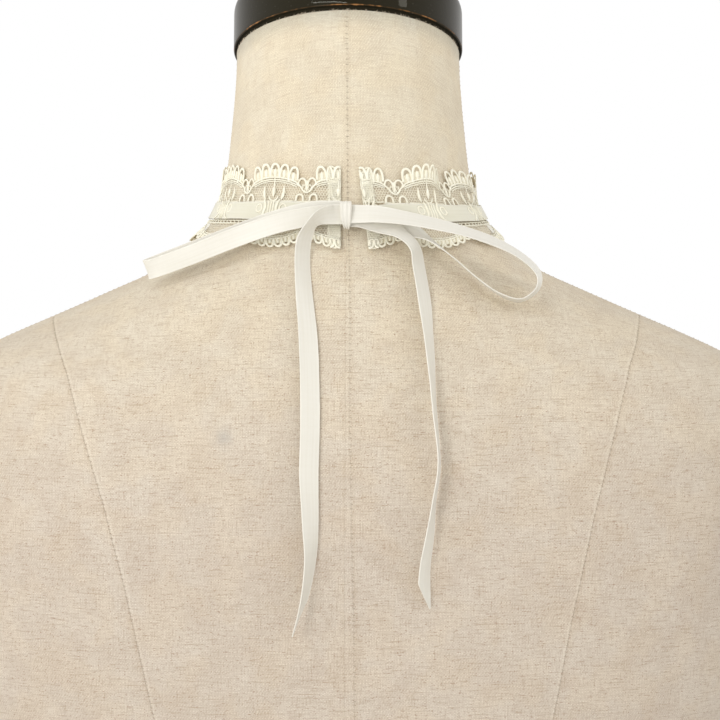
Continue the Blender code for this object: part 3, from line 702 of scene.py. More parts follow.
# Seam stitches: waxed linen thread, sewn by hand across each seam of the cover every few millimetres, so
# that the two panels' turned edges lie closed against each other.
STITCH_HALF_LENGTH = 0.62
STITCH_HALF_WIDTH = 0.13
STITCH_SLANT = 0.3              # how far a stitch runs along the seam, as a share of its length
STITCH_ARCH = 0.14              # how far its middle stands up from the cloth
STITCH_STRAY = 0.3
SLANT_STRAY = 0.12
STITCH_SIDES = 5
FRAYS = 420
FRAY_LONG = 0.9
FRAY_START = 0.5                # how far below the cut edge a frayed end leaves the cloth
FRAY_WIDTHS = [0.12, 0.09, 0.05]
STITCH_PALE = (0.5, 0.43, 0.33, 1.0)
STITCH_DEEP = (0.4, 0.33, 0.25, 1.0)
FUZZ_DEPTH = 0.04 * MM


def new_growth(name, setting, kind):
    """Geometry nodes that take an object's mesh and one setting of this name."""
    tree = bpy.data.node_groups.new(name, "GeometryNodeTree")
    tree.interface.new_socket("Geometry", in_out="INPUT", socket_type="NodeSocketGeometry")
    tree.interface.new_socket(setting, in_out="INPUT", socket_type=kind)
    tree.interface.new_socket("Geometry", in_out="OUTPUT", socket_type="NodeSocketGeometry")
    return tree, put(tree, "NodeGroupInput")


def end_growth(tree, shape, finish):
    """Makes the shape real mesh in this material, as what the nodes give."""
    whole = put(tree, "GeometryNodeRealizeInstances", {0: shape})
    painted = put(tree, "GeometryNodeSetMaterial", {"Geometry": whole.outputs[0], "Material": finish})
    put(tree, "NodeGroupOutput", {0: painted.outputs[0]})
    return tree


def sweep_tree(finish):
    """Sweeps a thread's round section along every line, as thick as each point says."""
    tree, given = new_growth("thread_sweep", "Sides", "NodeSocketInt")
    lines = put(tree, "GeometryNodeMeshToCurve", {"Mesh": given.outputs["Geometry"]})
    width = put(tree, "GeometryNodeInputNamedAttribute", {"Name": "half_width"}, data_type="FLOAT")
    ring = put(tree, "GeometryNodeCurvePrimitiveCircle",
               {"Resolution": given.outputs["Sides"], "Radius": 1.0})
    thick = put(tree, "GeometryNodeSetCurveRadius", {"Curve": lines.outputs[0], "Radius": width.outputs[0]})
    swept = put(tree, "GeometryNodeCurveToMesh",
                {"Curve": thick.outputs[0], "Profile Curve": ring.outputs[0],
                 "Scale": width.outputs[0], "Fill Caps": True})
    return end_growth(tree, swept.outputs[0], finish)


def grown(base, tree, **given):
    """The plain mesh that a node tree makes of an object, which is then removed."""
    modifier = base.modifiers.new("grow", "NODES")
    modifier.node_group = tree
    for socket in tree.interface.items_tree:
        if socket.in_out == "INPUT" and socket.name in given:
            modifier[socket.identifier] = given[socket.name]
    evaluated = base.evaluated_get(bpy.context.evaluated_depsgraph_get())
    mesh = bpy.data.meshes.new_from_object(evaluated)
    bpy.data.objects.remove(base)
    return mesh


def read_attribute(mesh, name):
    values = np.empty(len(mesh.vertices))
    mesh.attributes[name].data.foreach_get("value", values)
    return values


def read_points(mesh):
    values = np.empty(3 * len(mesh.vertices))
    mesh.vertices.foreach_get("co", values)
    return values.reshape(-1, 3)
def read_faces(mesh):
    return [tuple(face.vertices) for face in mesh.polygons]
def face_outward(mesh):
    """Turns the faces of every closed part outwards."""
    work = bmesh.new()
    work.from_mesh(mesh)
    bmesh.ops.recalc_face_normals(work, faces=work.faces)
    work.to_mesh(mesh)
    work.free()


def line_object(name, points, edges, notes):
    """Lines with named values at every point, for geometry nodes to grow a mesh along."""
    mesh = bpy.data.meshes.new(name)
    mesh.from_pydata(np.array(points).tolist(), edges, [])
    for label, values in notes.items():
        note_points(mesh, label, values)
    made = bpy.data.objects.new(name, mesh)
    bpy.context.scene.collection.objects.link(made)
    return made


def stitch_lines():
    """Three points for every stitch: down one side of the seam, up over it and down the other."""
    points, random = [], np.random.default_rng(12)
    for path, outward in SEAM_PATHS:
        way = np.gradient(path, axis=0)
        way /= np.linalg.norm(way, axis=1, keepdims=True)
        run = run_along(path)
        for place in np.arange(STITCH_STEP, run[-1] - 1.0, STITCH_STEP):
            k = int(np.argmin(np.abs(run - place - random.uniform(-STITCH_STRAY, STITCH_STRAY))))
            slant = STITCH_SLANT + random.uniform(-SLANT_STRAY, SLANT_STRAY)
            reach = (np.cross(outward[k], way[k]) + way[k] * slant) * STITCH_HALF_LENGTH
            points += [path[k] - reach, path[k] + outward[k] * STITCH_ARCH, path[k] + reach]
    return points


def frayed_ends():
    """Short ends of thread that stand up from the cover's cut edge, against the cap's collar."""
    points, random = [], np.random.default_rng(5)
    for turn in np.sort(random.uniform(0, 2 * math.pi, FRAYS)):
        foot = form_place(turn, NECK_TOP.height) + form_outward(turn, NECK_TOP.height) * 0.02
        rise = random.uniform(0.2, 1.0) ** 1.5 * FRAY_LONG
        lean = np.array([math.cos(turn), -math.sin(turn), 0.0]) * random.uniform(-0.5, 0.5) * rise
        points += [foot - (0, 0, FRAY_START), foot + (0, 0, 0.5 * rise), foot + lean + (0, 0, rise)]
    return points


def build_linen_thread():
    """Matt spun thread, its fibres seen as a fine fuzz."""
    made, tree, shader = new_finish("linen_thread")
    place = object_place(tree)
    tone = mask(tree, noise(tree, place, 350.0, 3.0), 0.3, 0.7)
    tree.links.new(mix_colour(tree, tone, STITCH_PALE, STITCH_DEEP), shader.inputs["Base Color"])
    set_relief(tree, shader, noise(tree, place, 3500.0), FUZZ_DEPTH, 0.25)
    shader.inputs["Roughness"].default_value = 0.8
    shader.inputs["Specular IOR Level"].default_value = 0.3
    return made


def build_seams():
    stitches, frays = stitch_lines(), frayed_ends()
    points = stitches + frays
    edges = [(first + k, first + k + 1) for first in range(0, len(points), 3) for k in (0, 1)]
    widths = [STITCH_HALF_WIDTH] * len(stitches) + FRAY_WIDTHS * FRAYS
    lines = line_object("seam_lines", points, edges, {"half_width": widths})
    thread = build_linen_thread()
    sewn = grown(lines, sweep_tree(thread), Sides=STITCH_SIDES)
    seams = mesh_object("cover_stitches", read_points(sewn), read_faces(sewn), thread)
    face_outward(seams.data)
    return seams


cover_stitches = build_seams()
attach(cover_stitches, "root")


# Neck cap: an oval slab of turned wood under black lacquer, gloss but rubbed brown along its lower
# edge. A narrow collar under it holds the cover's cut edge down on the tilted top of the neck.
CAP_OVERHANG = 1.6
CAP_HEIGHT = 28.0
CAP_ROUND = 8.0
CAP_SEAT = 0.3                  # how far the collar's foot is above the cover's cut edge
CAP_SIDES = 160
CAP_EDGE_ROUND = 0.7
CAP_SHARP = math.radians(40)
COLLAR_HEIGHT = 1.5
COLLAR_INSET = 1.5
CAP_CROWN = 0.5                 # how far the cap's top swells in the middle
CROWN_REACH = 44.0              # how far in from the cap's round edge the swell goes on rising
CROWN_STEP = 4.0
RIM_RISE = 0.4                  # the worn line is this far above the cap's lower edge
LACQUER_BLACK = (0.016, 0.0135, 0.0075, 1.0)
LACQUER_TINT = (1.0, 0.97, 0.84, 1.0)
LACQUER_SMEARS = (0.03, 0.08)   # roughness of the clean and of the smeared lacquer
LACQUER_DEPTH = 0.05 * MM
WORN_WOOD = (0.3, 0.14, 0.05, 1.0)
CAP_DUST = (0.4, 0.38, 0.34, 1.0)
COLLAR_ROUGHNESS = 0.7


def cap_profile():
    """(inset from the cap's side, height) from the middle of its underside to the middle of its top."""
    rows = [(COLLAR_INSET, 0.0), (COLLAR_INSET, COLLAR_HEIGHT - 0.3), (COLLAR_INSET - 0.2, COLLAR_HEIGHT)]
    turns = np.radians(np.linspace(0, 90, 6))
    rows += [(CAP_EDGE_ROUND * (1 - math.sin(t)), COLLAR_HEIGHT + CAP_EDGE_ROUND * (1 - math.cos(t)))
             for t in turns]
    rows += [(0.0, height) for height in np.linspace(COLLAR_HEIGHT + 2.5, CAP_HEIGHT - CAP_ROUND - 1.5, 6)]
    turns = np.radians(np.linspace(0, 88, 14))
    rows += [(CAP_ROUND * (1 - math.cos(t)), CAP_HEIGHT - CAP_ROUND * (1 - math.sin(t))) for t in turns]
    top = rows[-1][0]
    rows += [(inset, CAP_HEIGHT + CAP_CROWN * math.sin(math.pi / 2 * (inset - top) / CROWN_REACH))
             for inset in np.linspace(top + CROWN_STEP, top + CROWN_REACH - CROWN_STEP, 8)]
    return rows


def build_lacquer():
    """Gloss black lacquer with a little orange peel, worn through to brown wood at the rim."""
    made, tree, shader = new_finish("black_lacquer")
    place = object_place(tree)
    ragged = times(tree, noise(tree, place, 500.0, 3.0), 0.66)
    ragged = math_node(tree, "SUBTRACT", noted(tree, "rim"), ragged)
    line = all_but(tree, mask(tree, ragged, -0.3, -0.05))
    patches = plus(tree, mask(tree, noise(tree, place, 110.0), 0.46, 0.66), 0.12)
    colour = laid_on(tree, LACQUER_BLACK, WORN_WOOD, line, patches)
    dust = mask(tree, noise(tree, place, 1500.0, 1.0), 0.72, 0.78)
    tree.links.new(laid_on(tree, colour, CAP_DUST, dust, 0.12), shader.inputs["Base Color"])
    smears = mask(tree, noise(tree, place, 60.0, 4.0), 0.3, 0.75)
    collar = noted(tree, "collar")
    dull = put(tree, "ShaderNodeMix", {0: collar, 2: ranged(tree, smears, *LACQUER_SMEARS),
                                       3: COLLAR_ROUGHNESS}, data_type="FLOAT")
    tree.links.new(dull.outputs[0], shader.inputs["Roughness"])
    tree.links.new(ranged(tree, collar, 0.09, 0.04), shader.inputs["Specular IOR Level"])
    shader.inputs["Specular Tint"].default_value = LACQUER_TINT
    set_relief(tree, shader, noise(tree, place, 260.0), LACQUER_DEPTH, 0.35)
    return made


def build_neck_cap():
    wide = NECK_TOP.half_width + CAP_OVERHANG
    deep = (NECK_TOP.back - NECK_TOP.front) / 2 / math.cos(CAP_LEAN) + CAP_OVERHANG
    middle_y = (NECK_TOP.back + NECK_TOP.front) / 2
    seat = np.array([0.0, middle_y, NECK_TOP.height + NECK_TOP.tilt * (middle_y - NECK_TOP.side_y)])
    up = np.array(CAP_WAY)
    back = np.array([0.0, math.cos(CAP_LEAN), math.sin(CAP_LEAN)])
    turns = np.linspace(0, 2 * math.pi, CAP_SIDES, endpoint=False)
    rows = cap_profile()
    points = []
    for inset, height in rows:
        ring = (np.outer(np.cos(turns) * (wide - inset), (1, 0, 0))
                + np.outer(np.sin(turns) * (deep - inset), back))
        points.append(seat + ring + up * (CAP_SEAT + height))
    faces = [face[::-1] for face in ring_faces(len(rows), CAP_SIDES)]
    faces.append(tuple(reversed(range(CAP_SIDES))))
    faces.append(tuple(range((len(rows) - 1) * CAP_SIDES, len(rows) * CAP_SIDES)))
    cap = mesh_object("lacquered_cap", np.concatenate(points), faces, build_lacquer())
    from_rim = [abs(height - COLLAR_HEIGHT - RIM_RISE) for inset, height in rows]
    on_collar = [float(height <= COLLAR_HEIGHT) for inset, height in rows]
    note_points(cap.data, "rim", np.repeat(from_rim, CAP_SIDES))
    note_points(cap.data, "collar", np.repeat(on_collar, CAP_SIDES))
    cap.data.set_sharp_from_angle(angle=CAP_SHARP)
    return cap


lacquered_cap = build_neck_cap()
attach(lacquered_cap, "root")
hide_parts("neck_cap")


# Bow: one length of 9 mm satin ribbon with a woven edge on each side, tied at the back of the neck.
# The left loop lies flat and folded, the right one stands open, and both tails are cut on the slant.
RIBBON_WIDTH = 9.0
RIBBON_THICK = 0.34
SELVEDGE_WIDTH = 0.55
SELVEDGE_EXTRA = 0.14
ROWS_PER_STATION = 18           # rows of the ribbon's mesh from one station to the next
RIBBON_ACROSS = 15
KNOT_X = 0.7
KNOT_Y = 67.3
KNOT_Z = 396.8
KNOT_HALF_WIDTH = 2.7
KNOT_HALF_DEPTH = 4.6
KNOT_HALF_HEIGHT = 5.9
KNOT_GAP = 0.5                  # how far beside the wrap the ribbons have their last free station
KNOT_TAPER = 0.55               # how much narrower the wrap is gathered at its foot
KNOT_POINT = 0.9
KNOT_ROUND = 0.62               # how square the wrap's section is, 1 for an oval
KNOT_RIDGES = [(0.026, 9.0, 0.0), (0.008, 17.0, 1.0)]   # share of the size, pace and start of each
WRAP_STEPS = 72
WRAP_ACROSS = 25
LEFT_OF_KNOT = KNOT_X + KNOT_HALF_WIDTH + KNOT_GAP
RIGHT_OF_KNOT = KNOT_X - KNOT_HALF_WIDTH - KNOT_GAP
IN_KNOT = (KNOT_X + 1.0, KNOT_X - 1.0)      # where the left and the right ribbons end inside the knot
REAR = np.array([0.0, 1.0, 0.0])
LOOP_UP = np.array([0.35, 0.0, 0.94])
TIP_SHARE = 0.93                # how much of the width a slanted cut takes away at the very tip
TIP_ROWS = 5                    # rows at a slanted tip that the tail's middle line leaves out
LEFT_CUT = -16.0
RIGHT_CUT = 12.0
CURL_PACES = (6.1, 9.7, 15.3, 23.0)
CURL_SPREAD = 2.4               # brings the four curls' sum back to about 1
CURL_CALM = 6.0                 # the ribbon lies flat at its ends and curls from this far in
EDGE_CURL_PACE = 4.3            # the edges curl to a shorter beat than the ribbon's middle
RIBBON_SHARP = math.radians(60)

SATIN_PALE = (0.71, 0.69, 0.625, 1.0)
SATIN_WARM = (0.68, 0.655, 0.58, 1.0)
SELVEDGE_TONE = (0.78, 0.76, 0.69, 1.0)
SATIN_PITCH = (0.3 * MM, 0.24 * MM, 12.0 * MM)
SATIN_DEPTH = 0.04 * MM


def build_satin(name, pale, warm):
    """Ivory satin: long floats down the ribbon, a faint bar here and there and a plain woven edge."""
    made, tree, shader = new_finish(name)
    cloth = flat_cloth(tree)
    floats = noise(tree, stretched(tree, cloth, 0.16, 4.0), 1.0)
    bars = noise(tree, stretched(tree, cloth, 30.0, 1.6), 1.0)
    lines = noise(tree, stretched(tree, cloth, 0.9, 40.0), 1.0, 1.0)
    streaks = plus(tree, times(tree, bars, 0.25), times(tree, lines, 0.75))
    colour = mix_colour(tree, mask(tree, streaks, 0.3, 0.75), pale, warm)
    across = put(tree, "ShaderNodeSeparateXYZ", {0: cloth}).outputs[0]
    half = RIBBON_WIDTH / 2
    edge = mask(tree, math_node(tree, "ABSOLUTE", across), (half - SELVEDGE_WIDTH - 0.2) * MM,
                (half - SELVEDGE_WIDTH + 0.1) * MM)
    tree.links.new(laid_on(tree, colour, SELVEDGE_TONE, edge, 0.6), shader.inputs["Base Color"])
    tree.links.new(ranged(tree, edge, 0.38, 0.62), shader.inputs["Roughness"])
    ridges = times(tree, woven(tree, cloth, *SATIN_PITCH)["Height"], plus(tree, edge, 0.12))
    set_relief(tree, shader, plus(tree, ridges, times(tree, floats, 0.4)), SATIN_DEPTH, 0.4)
    shader.inputs["Sheen Weight"].default_value = 0.15
    shader.inputs["Specular IOR Level"].default_value = 0.45
    return made


SATIN = build_satin("ivory_satin", SATIN_PALE, SATIN_WARM)


def spline(stations):
    """A smooth curve through the stations, with rows between them."""
    rows = np.array(stations, float)
    place = np.linspace(0, len(rows) - 1, (len(rows) - 1) * ROWS_PER_STATION + 1)
    i = np.minimum(place.astype(int), len(rows) - 2)
    t = (place - i)[:, None]
    p, q, r, s = (rows[np.clip(i + n, 0, len(rows) - 1)] for n in (-1, 0, 1, 2))
    bend, twist = 2 * p - 5 * q + 4 * r - s, 3 * q - p - 3 * r + s
    return 0.5 * (2 * q + (r - p) * t + bend * t * t + twist * t ** 3)


def unit(vectors):
    return vectors / np.linalg.norm(vectors, axis=-1, keepdims=True)


def ribbon_edges(centres, turns, reference):
    """The ribbon's two edges. A turn of 90 lays its width as near to the reference way as it can be."""
    ahead = np.empty_like(centres)
    ahead[1:-1] = centres[2:] - centres[:-2]
    ahead[0], ahead[-1] = centres[1] - centres[0], centres[-1] - centres[-2]
    ahead = unit(ahead)
    first = unit(reference - ahead * (ahead @ reference)[:, None])
    turn = np.radians(turns)[:, None]
    wide = (np.cross(ahead, first) * np.cos(turn) + first * np.sin(turn)) * RIBBON_WIDTH / 2
    return centres + wide, centres - wide


def slant_end(left, right, cut):
    """Draws the last part of one edge in towards the other, where the ribbon is cut on the slant."""
    edge, other = (left, right) if cut > 0 else (right, left)
    steps = np.linalg.norm(np.diff(edge, axis=0), axis=1)
    from_end = np.concatenate([np.cumsum(steps[::-1])[::-1], [0.0]])
    share = np.clip(1 - from_end / abs(cut), 0, 1)[:, None]
    edge += (other - edge) * TIP_SHARE * share


def lay_flat(mesh, flat):
    """Gives each corner its point's place in the flat cloth, in metres."""
    corner = np.empty(len(mesh.loops), int)
    mesh.loops.foreach_get("vertex_index", corner)
    mesh.uv_layers.new(name="cloth").data.foreach_set("uv", flat[corner].ravel())


def ribbon_piece(name, left, right, seed, curl=0.22, finish=SATIN):
    """A closed ribbon between two edges: thin, a little cupped, with a thicker woven edge each side."""
    rows = len(left)
    shares = 0.5 - 0.5 * np.cos(math.pi * np.linspace(0, 1, RIBBON_ACROSS))
    across = left[:, None] + (right - left)[:, None] * shares[:, None]
    along = np.gradient(across, axis=0)
    outward = unit(np.cross(unit(along), unit(right - left)[:, None]))
    width = np.linalg.norm(right - left, axis=1)[:, None]
    from_edge = np.minimum(shares, 1 - shares) * width
    run = run_along((left + right) / 2)
    phases = np.random.default_rng(seed).uniform(0, 2 * math.pi, len(CURL_PACES))
    bend = sum(np.sin(run / pace + phase) for pace, phase in zip(CURL_PACES, phases)) / CURL_SPREAD
    side = 2 * shares - 1
    ends = np.clip(np.minimum(run, run[-1] - run) / CURL_CALM, 0, 1)
    cup = curl * bend[:, None] * ends[:, None] * (side ** 2 - 0.35)
    cup += 0.35 * curl * np.sin(run / EDGE_CURL_PACE + phases[0])[:, None] * ends[:, None] * side ** 3
    half = RIBBON_THICK / 2 + SELVEDGE_EXTRA / 2 * np.exp(-((from_edge - 0.25) / SELVEDGE_WIDTH * 1.6) ** 2)
    half = half * np.clip(from_edge / 0.12 + 0.25, 0, 1)
    top = across + outward * (cup + half)[..., None]
    under = across + outward * (cup - half)[..., None]
    rings = np.concatenate([top, under[:, ::-1]], axis=1)
    around = rings.shape[1]
    faces = ring_faces(rows, around)
    for row, turned in ((0, 1), (rows - 1, -1)):
        for k in range(RIBBON_ACROSS - 1):
            a, b = row * around + k, row * around + k + 1
            c, d = row * around + around - 2 - k, row * around + around - 1 - k
            faces.append((a, b, c, d)[::turned])
    made = mesh_object(name, rings.reshape(-1, 3), faces, finish)
    place = (shares - 0.5) * width
    flat = np.stack([np.concatenate([place, place[:, ::-1]], axis=1),
                     np.broadcast_to(run[:, None], (rows, around))], axis=-1)
    lay_flat(made.data, flat.reshape(-1, 2) * MM)
    made.data.set_sharp_from_angle(angle=RIBBON_SHARP)
    return made


def strip_piece(name, stations, reference, seed, end_cut=0.0):
    """A ribbon along stations of x, y, z and turn, and the line that its middle follows, in metres.
    The line stops a little short of a slanted tip, where next to no ribbon is left."""
    rows = spline(stations)
    left, right = ribbon_edges(rows[:, :3], rows[:, 3], reference)
    if end_cut:
        slant_end(left, right, end_cut)
    middle = (left + right) / 2 * MM
    kept = len(middle) - (TIP_ROWS if end_cut else 0)
    return ribbon_piece(name, left, right, seed), middle[:kept].tolist()


def back_surface(x, z):
    """How far back the form's surface lies at this place, below the neck."""
    half_width, back, front, side_y, squareness, tilt = section_at(np.asarray(z, float))
    share = min(1.0, abs(x) / half_width)
    return float(side_y + (back - side_y) * (1 - share ** squareness) ** (1 / squareness))


def fall(rows):
    """Stations down the back from rows of x, z, clearance and turn, the nearer edge clear of the form."""
    return [(x, back_surface(x, z) + clear + abs(math.sin(math.radians(turn))) * RIBBON_WIDTH / 2, z, turn)
            for x, z, clear, turn in rows]


# Each station is x, y, z and the ribbon's turn in degrees.
LEFT_LOOP_BEHIND = [
    (IN_KNOT[0], 65.0, 398.0, 84), (LEFT_OF_KNOT, 65.0, 398.4, 84), (8.0, 65.1, 398.5, 84),
    (17.0, 65.2, 398.0, 84), (32.0, 63.6, 394.2, 84), (50.0, 58.8, 387.8, 84), (70.0, 51.6, 380.2, 84),
    (84.0, 46.2, 374.9, 86)]
LEFT_LOOP_FOLD = [
    (89.6, 44.9, 372.7, 90), (92.0, 46.2, 371.6, 90), (92.0, 48.2, 371.3, 90), (89.6, 49.6, 371.8, 90)]
LEFT_LOOP_FRONT = [
    (84.0, 50.6, 373.6, 94), (70.0, 55.2, 378.8, 96), (50.0, 62.0, 386.6, 96), (32.0, 65.8, 392.6, 96),
    (17.0, 66.9, 395.8, 96), (8.0, 66.7, 396.8, 96), (LEFT_OF_KNOT, 66.6, 396.9, 96),
    (IN_KNOT[0], 66.6, 396.9, 96)]
LEFT_LOOP = LEFT_LOOP_BEHIND + LEFT_LOOP_FOLD + LEFT_LOOP_FRONT
RIGHT_LOOP = [
    (IN_KNOT[1], 68.8, 396.9, 24), (RIGHT_OF_KNOT, 69.0, 396.9, 22), (-6.0, 69.6, 396.9, 26),
    (-15.0, 70.6, 396.6, 36), (-32.0, 71.0, 394.0, 52), (-50.0, 69.4, 389.9, 60), (-66.0, 66.0, 384.6, 66),
    (-78.0, 62.8, 378.4, 70), (-86.6, 61.4, 370.2, 73), (-85.8, 63.4, 362.6, 75), (-78.0, 67.6, 357.8, 79),
    (-68.0, 69.2, 361.0, 84), (-58.0, 68.4, 368.6, 88), (-48.0, 67.0, 377.2, 90), (-38.0, 66.0, 385.0, 98),
    (-31.0, 65.4, 388.9, 128), (-24.0, 65.2, 391.6, 158), (-12.0, 65.2, 394.4, 172),
    (-5.0, 65.3, 395.3, 174), (RIGHT_OF_KNOT, 65.3, 395.4, 174), (IN_KNOT[1], 65.3, 395.4, 174)]
LEFT_TAIL = [
    (IN_KNOT[0], 68.4, 396.7, 0), (LEFT_OF_KNOT, 68.6, 396.7, 0), (6.2, 69.2, 396.7, 6),
    (11.4, 71.8, 396.0, 36), (16.0, 73.0, 392.4, 58), (19.4, 71.6, 385.6, 44), (20.3, 71.8, 376.0, 40)]
LEFT_TAIL += fall([
    (19.4, 362.0, 1.8, 36), (17.8, 345.0, 1.7, 24), (16.7, 325.0, 1.6, 18), (16.4, 303.0, 1.6, 16),
    (16.8, 282.0, 1.6, 20), (16.2, 263.0, 1.7, 36), (16.1, 246.0, 1.8, 54), (18.7, 229.0, 1.8, 70),
    (23.4, 211.5, 1.8, 82)])
RIGHT_TAIL = [
    (IN_KNOT[1], 67.0, 395.4, 8), (RIGHT_OF_KNOT, 67.0, 395.4, 8), (-6.0, 67.2, 395.2, 8),
    (-14.0, 68.0, 392.6, 16), (-24.0, 73.2, 388.0, 56), (-30.2, 74.2, 382.2, 60), (-32.2, 73.4, 373.0, 53)]
RIGHT_TAIL += fall([
    (-34.6, 358.6, 2.2, 52), (-36.2, 344.0, 1.9, 60), (-37.6, 326.0, 1.8, 72), (-39.2, 304.0, 1.8, 80),
    (-40.4, 286.0, 1.8, 82), (-38.3, 271.0, 1.8, 78), (-36.4, 255.0, 1.8, 66), (-34.3, 240.0, 1.8, 56),
    (-33.9, 222.8, 1.8, 50)])


def rounded(values):
    """Sines or cosines pushed outwards, so that an oval becomes a little square."""
    return np.sign(values) * np.abs(values) ** KNOT_ROUND


def build_knot():
    """The ribbon's wrap: drawn in across its width into soft ridges that run round the bow."""
    turns = np.linspace(0, 2 * math.pi, WRAP_STEPS, endpoint=False)
    points = []
    for k in range(WRAP_ACROSS):
        side = math.sin((k / (WRAP_ACROSS - 1) - 0.5) * math.pi)
        at_end = k in (0, WRAP_ACROSS - 1)
        swell = 0.72 if at_end else 0.86 + 0.14 * (1 - abs(side) ** 5) ** 0.45
        ridge = sum(share * math.cos(side * pace + start) for share, pace, start in KNOT_RIDGES)
        size = swell * (1 + ridge + 0.014 * np.sin(2 * turns + side * 2.2))
        y = KNOT_Y + KNOT_HALF_DEPTH * size * rounded(np.cos(turns))
        z = KNOT_Z + KNOT_HALF_HEIGHT * size * rounded(np.sin(turns))
        below = np.clip((KNOT_Z - 1.0 - z) / (KNOT_HALF_HEIGHT - 1.0), 0, 1.2) ** 1.5
        waist = (1 - 0.1 * np.exp(-((z - KNOT_Z + 1.0) / 3.0) ** 2)) * (1 - KNOT_TAPER * below)
        x = KNOT_X + KNOT_HALF_WIDTH * side * waist - 0.5 * below
        points.append(np.stack([x, y, z - KNOT_POINT * below], axis=-1))
    faces = ring_faces(WRAP_ACROSS, WRAP_STEPS)
    faces.append(tuple(range(WRAP_STEPS)))
    faces.append(tuple(reversed(range((WRAP_ACROSS - 1) * WRAP_STEPS, WRAP_ACROSS * WRAP_STEPS))))
    knot = mesh_object("bow_knot", np.concatenate(points), faces, SATIN)
    face_outward(knot.data)
    around = np.linspace(0, 2 * math.pi * 5.0, WRAP_STEPS, endpoint=False)
    across = np.repeat(np.linspace(-3.2, 3.2, WRAP_ACROSS), WRAP_STEPS)
    lay_flat(knot.data, np.stack([across, np.tile(around, WRAP_ACROSS)], axis=-1) * MM)
    return knot


bow_knot = build_knot()
left_loop, _ = strip_piece("bow_loop_left", LEFT_LOOP, LOOP_UP, seed=3)
right_loop, _ = strip_piece("bow_loop_right", RIGHT_LOOP, REAR, seed=5)
left_tail, left_tail_line = strip_piece("bow_tail_left", LEFT_TAIL, REAR, seed=8, end_cut=LEFT_CUT)
right_tail, right_tail_line = strip_piece("bow_tail_right", RIGHT_TAIL, REAR, seed=13, end_cut=RIGHT_CUT)


for piece, node in ((bow_knot, "ribbon_knot"), (left_loop, "loop_left"), (right_loop, "loop_right"),
                    (left_tail, "tail_left"), (right_tail, "tail_right")):
    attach(piece, "root")
    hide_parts(node)


# Lace: one length of scalloped cotton lace. Soft thread is embroidered in loops, drops and scrolls on
# fine six-sided net, with slots along the middle for the ribbon. Both ends are turned and stitched.
SCALLOPS = 11
ARCHES = 6                      # short bars on each side of a peak, under the ribbon
LACE_LINE = 397.2               # height of the ribbon's middle line on the neck
LINE_DIP = 1.4                  # the line sinks this far on the picture's right, round this angle in degrees
LINE_DIP_PLACE = 310.0
LINE_DIP_LENGTH = 60.0
LACE_START = math.radians(2.8)
LACE_END_TOP = math.radians(360 - 4.6)
LACE_END_FOOT = math.radians(360 - 8.9)     # the second end slants, its foot farther from the first
LACE_TOP_PEAK = 21.6            # the lace's edges, up from the ribbon's middle and down from it
LACE_TOP_LOW = 13.3
LACE_FOOT_PEAK = 17.9
LACE_FOOT_LOW = 12.2
TOP_ROUNDNESS = 0.5
FOOT_ROUNDNESS = 0.9
ARCH_RISE = 1.1                 # how far the loops stand out past that outline
BORDER_DEEP = 5.2               # from the outline in to the cord along the loops' foot
END_DROP = 2.0                  # how far the top edge sinks at each end, over this share of a scallop
END_DROP_LENGTH = 1 / 3
HEM_WIDTH = 5.6
HEM_LIFT = 0.75                 # how far the turned end lies over the lace
HEM_TURN = 0.9                  # how much lace the turn itself takes
LACE_CLEARANCE = 0.6            # between the cover and the lace's inner side
FOOT_FLARE = 1.1                # how far the foot stands off besides
FOOT_FLARE_POWER = 1.5
FOOT_SPREAD = math.radians(6.5)     # how far the foot's pattern is drawn away from the sides
FOOT_SPREAD_POWER = 1.2
TOP_LIFT_POWER = 1.6
FOLD_DRAW = math.radians(8.0)   # how far a fold draws the top edge along, round this angle
FOLD_PLACE = 304.0
FOLD_LENGTH = 26.0
TOP_SAG = 0.2                   # share of its width that the upper half sags, round this angle
TOP_SAG_PLACE = 276.0
TOP_SAG_LENGTH = 36.0
Wave = namedtuple("Wave", "place half_length lift")     # where the top edge stands off, in degrees
TOP_WAVES = [Wave(12.0, 12.0, 1.2), Wave(42.0, 13.0, 1.2), Wave(84.0, 15.0, 0.6), Wave(131.0, 20.0, 1.5),
             Wave(178.0, 24.0, 2.2), Wave(226.0, 19.0, 1.6), Wave(266.0, 16.0, 2.0), Wave(290.0, 11.0, 1.2),
             Wave(321.0, 9.0, 3.4), Wave(328.0, 14.0, 2.6)]
NECK_RADIUS = 60.7              # mean radius of the neck at the ribbon's line
PITCH = (LACE_END_TOP - LACE_START) * NECK_RADIUS / SCALLOPS


def bump(x):
    """A soft hill, 1 at 0 and 0 from 1 outwards."""
    return np.where(np.abs(x) >= 1, 0.0, (1 + np.cos(math.pi * np.clip(x, -1, 1))) / 2)


def lace_angle(scallop, across):
    """The angle round the neck, for a place along the lace counted in scallops."""
    slant = (LACE_TOP_PEAK - across) / (LACE_TOP_PEAK + LACE_FOOT_PEAK)
    end = LACE_END_TOP + (LACE_END_FOOT - LACE_END_TOP) * slant
    angle = LACE_START + (end - LACE_START) * scallop / SCALLOPS
    down = np.clip(-across / LACE_FOOT_PEAK, 0, None) ** FOOT_SPREAD_POWER
    up = np.clip(across / LACE_TOP_PEAK, 0, None)
    drawn = FOLD_DRAW * bump((np.degrees(angle) - FOLD_PLACE) / FOLD_LENGTH) * up
    return angle - FOOT_SPREAD * np.sin(2 * angle) * down + drawn


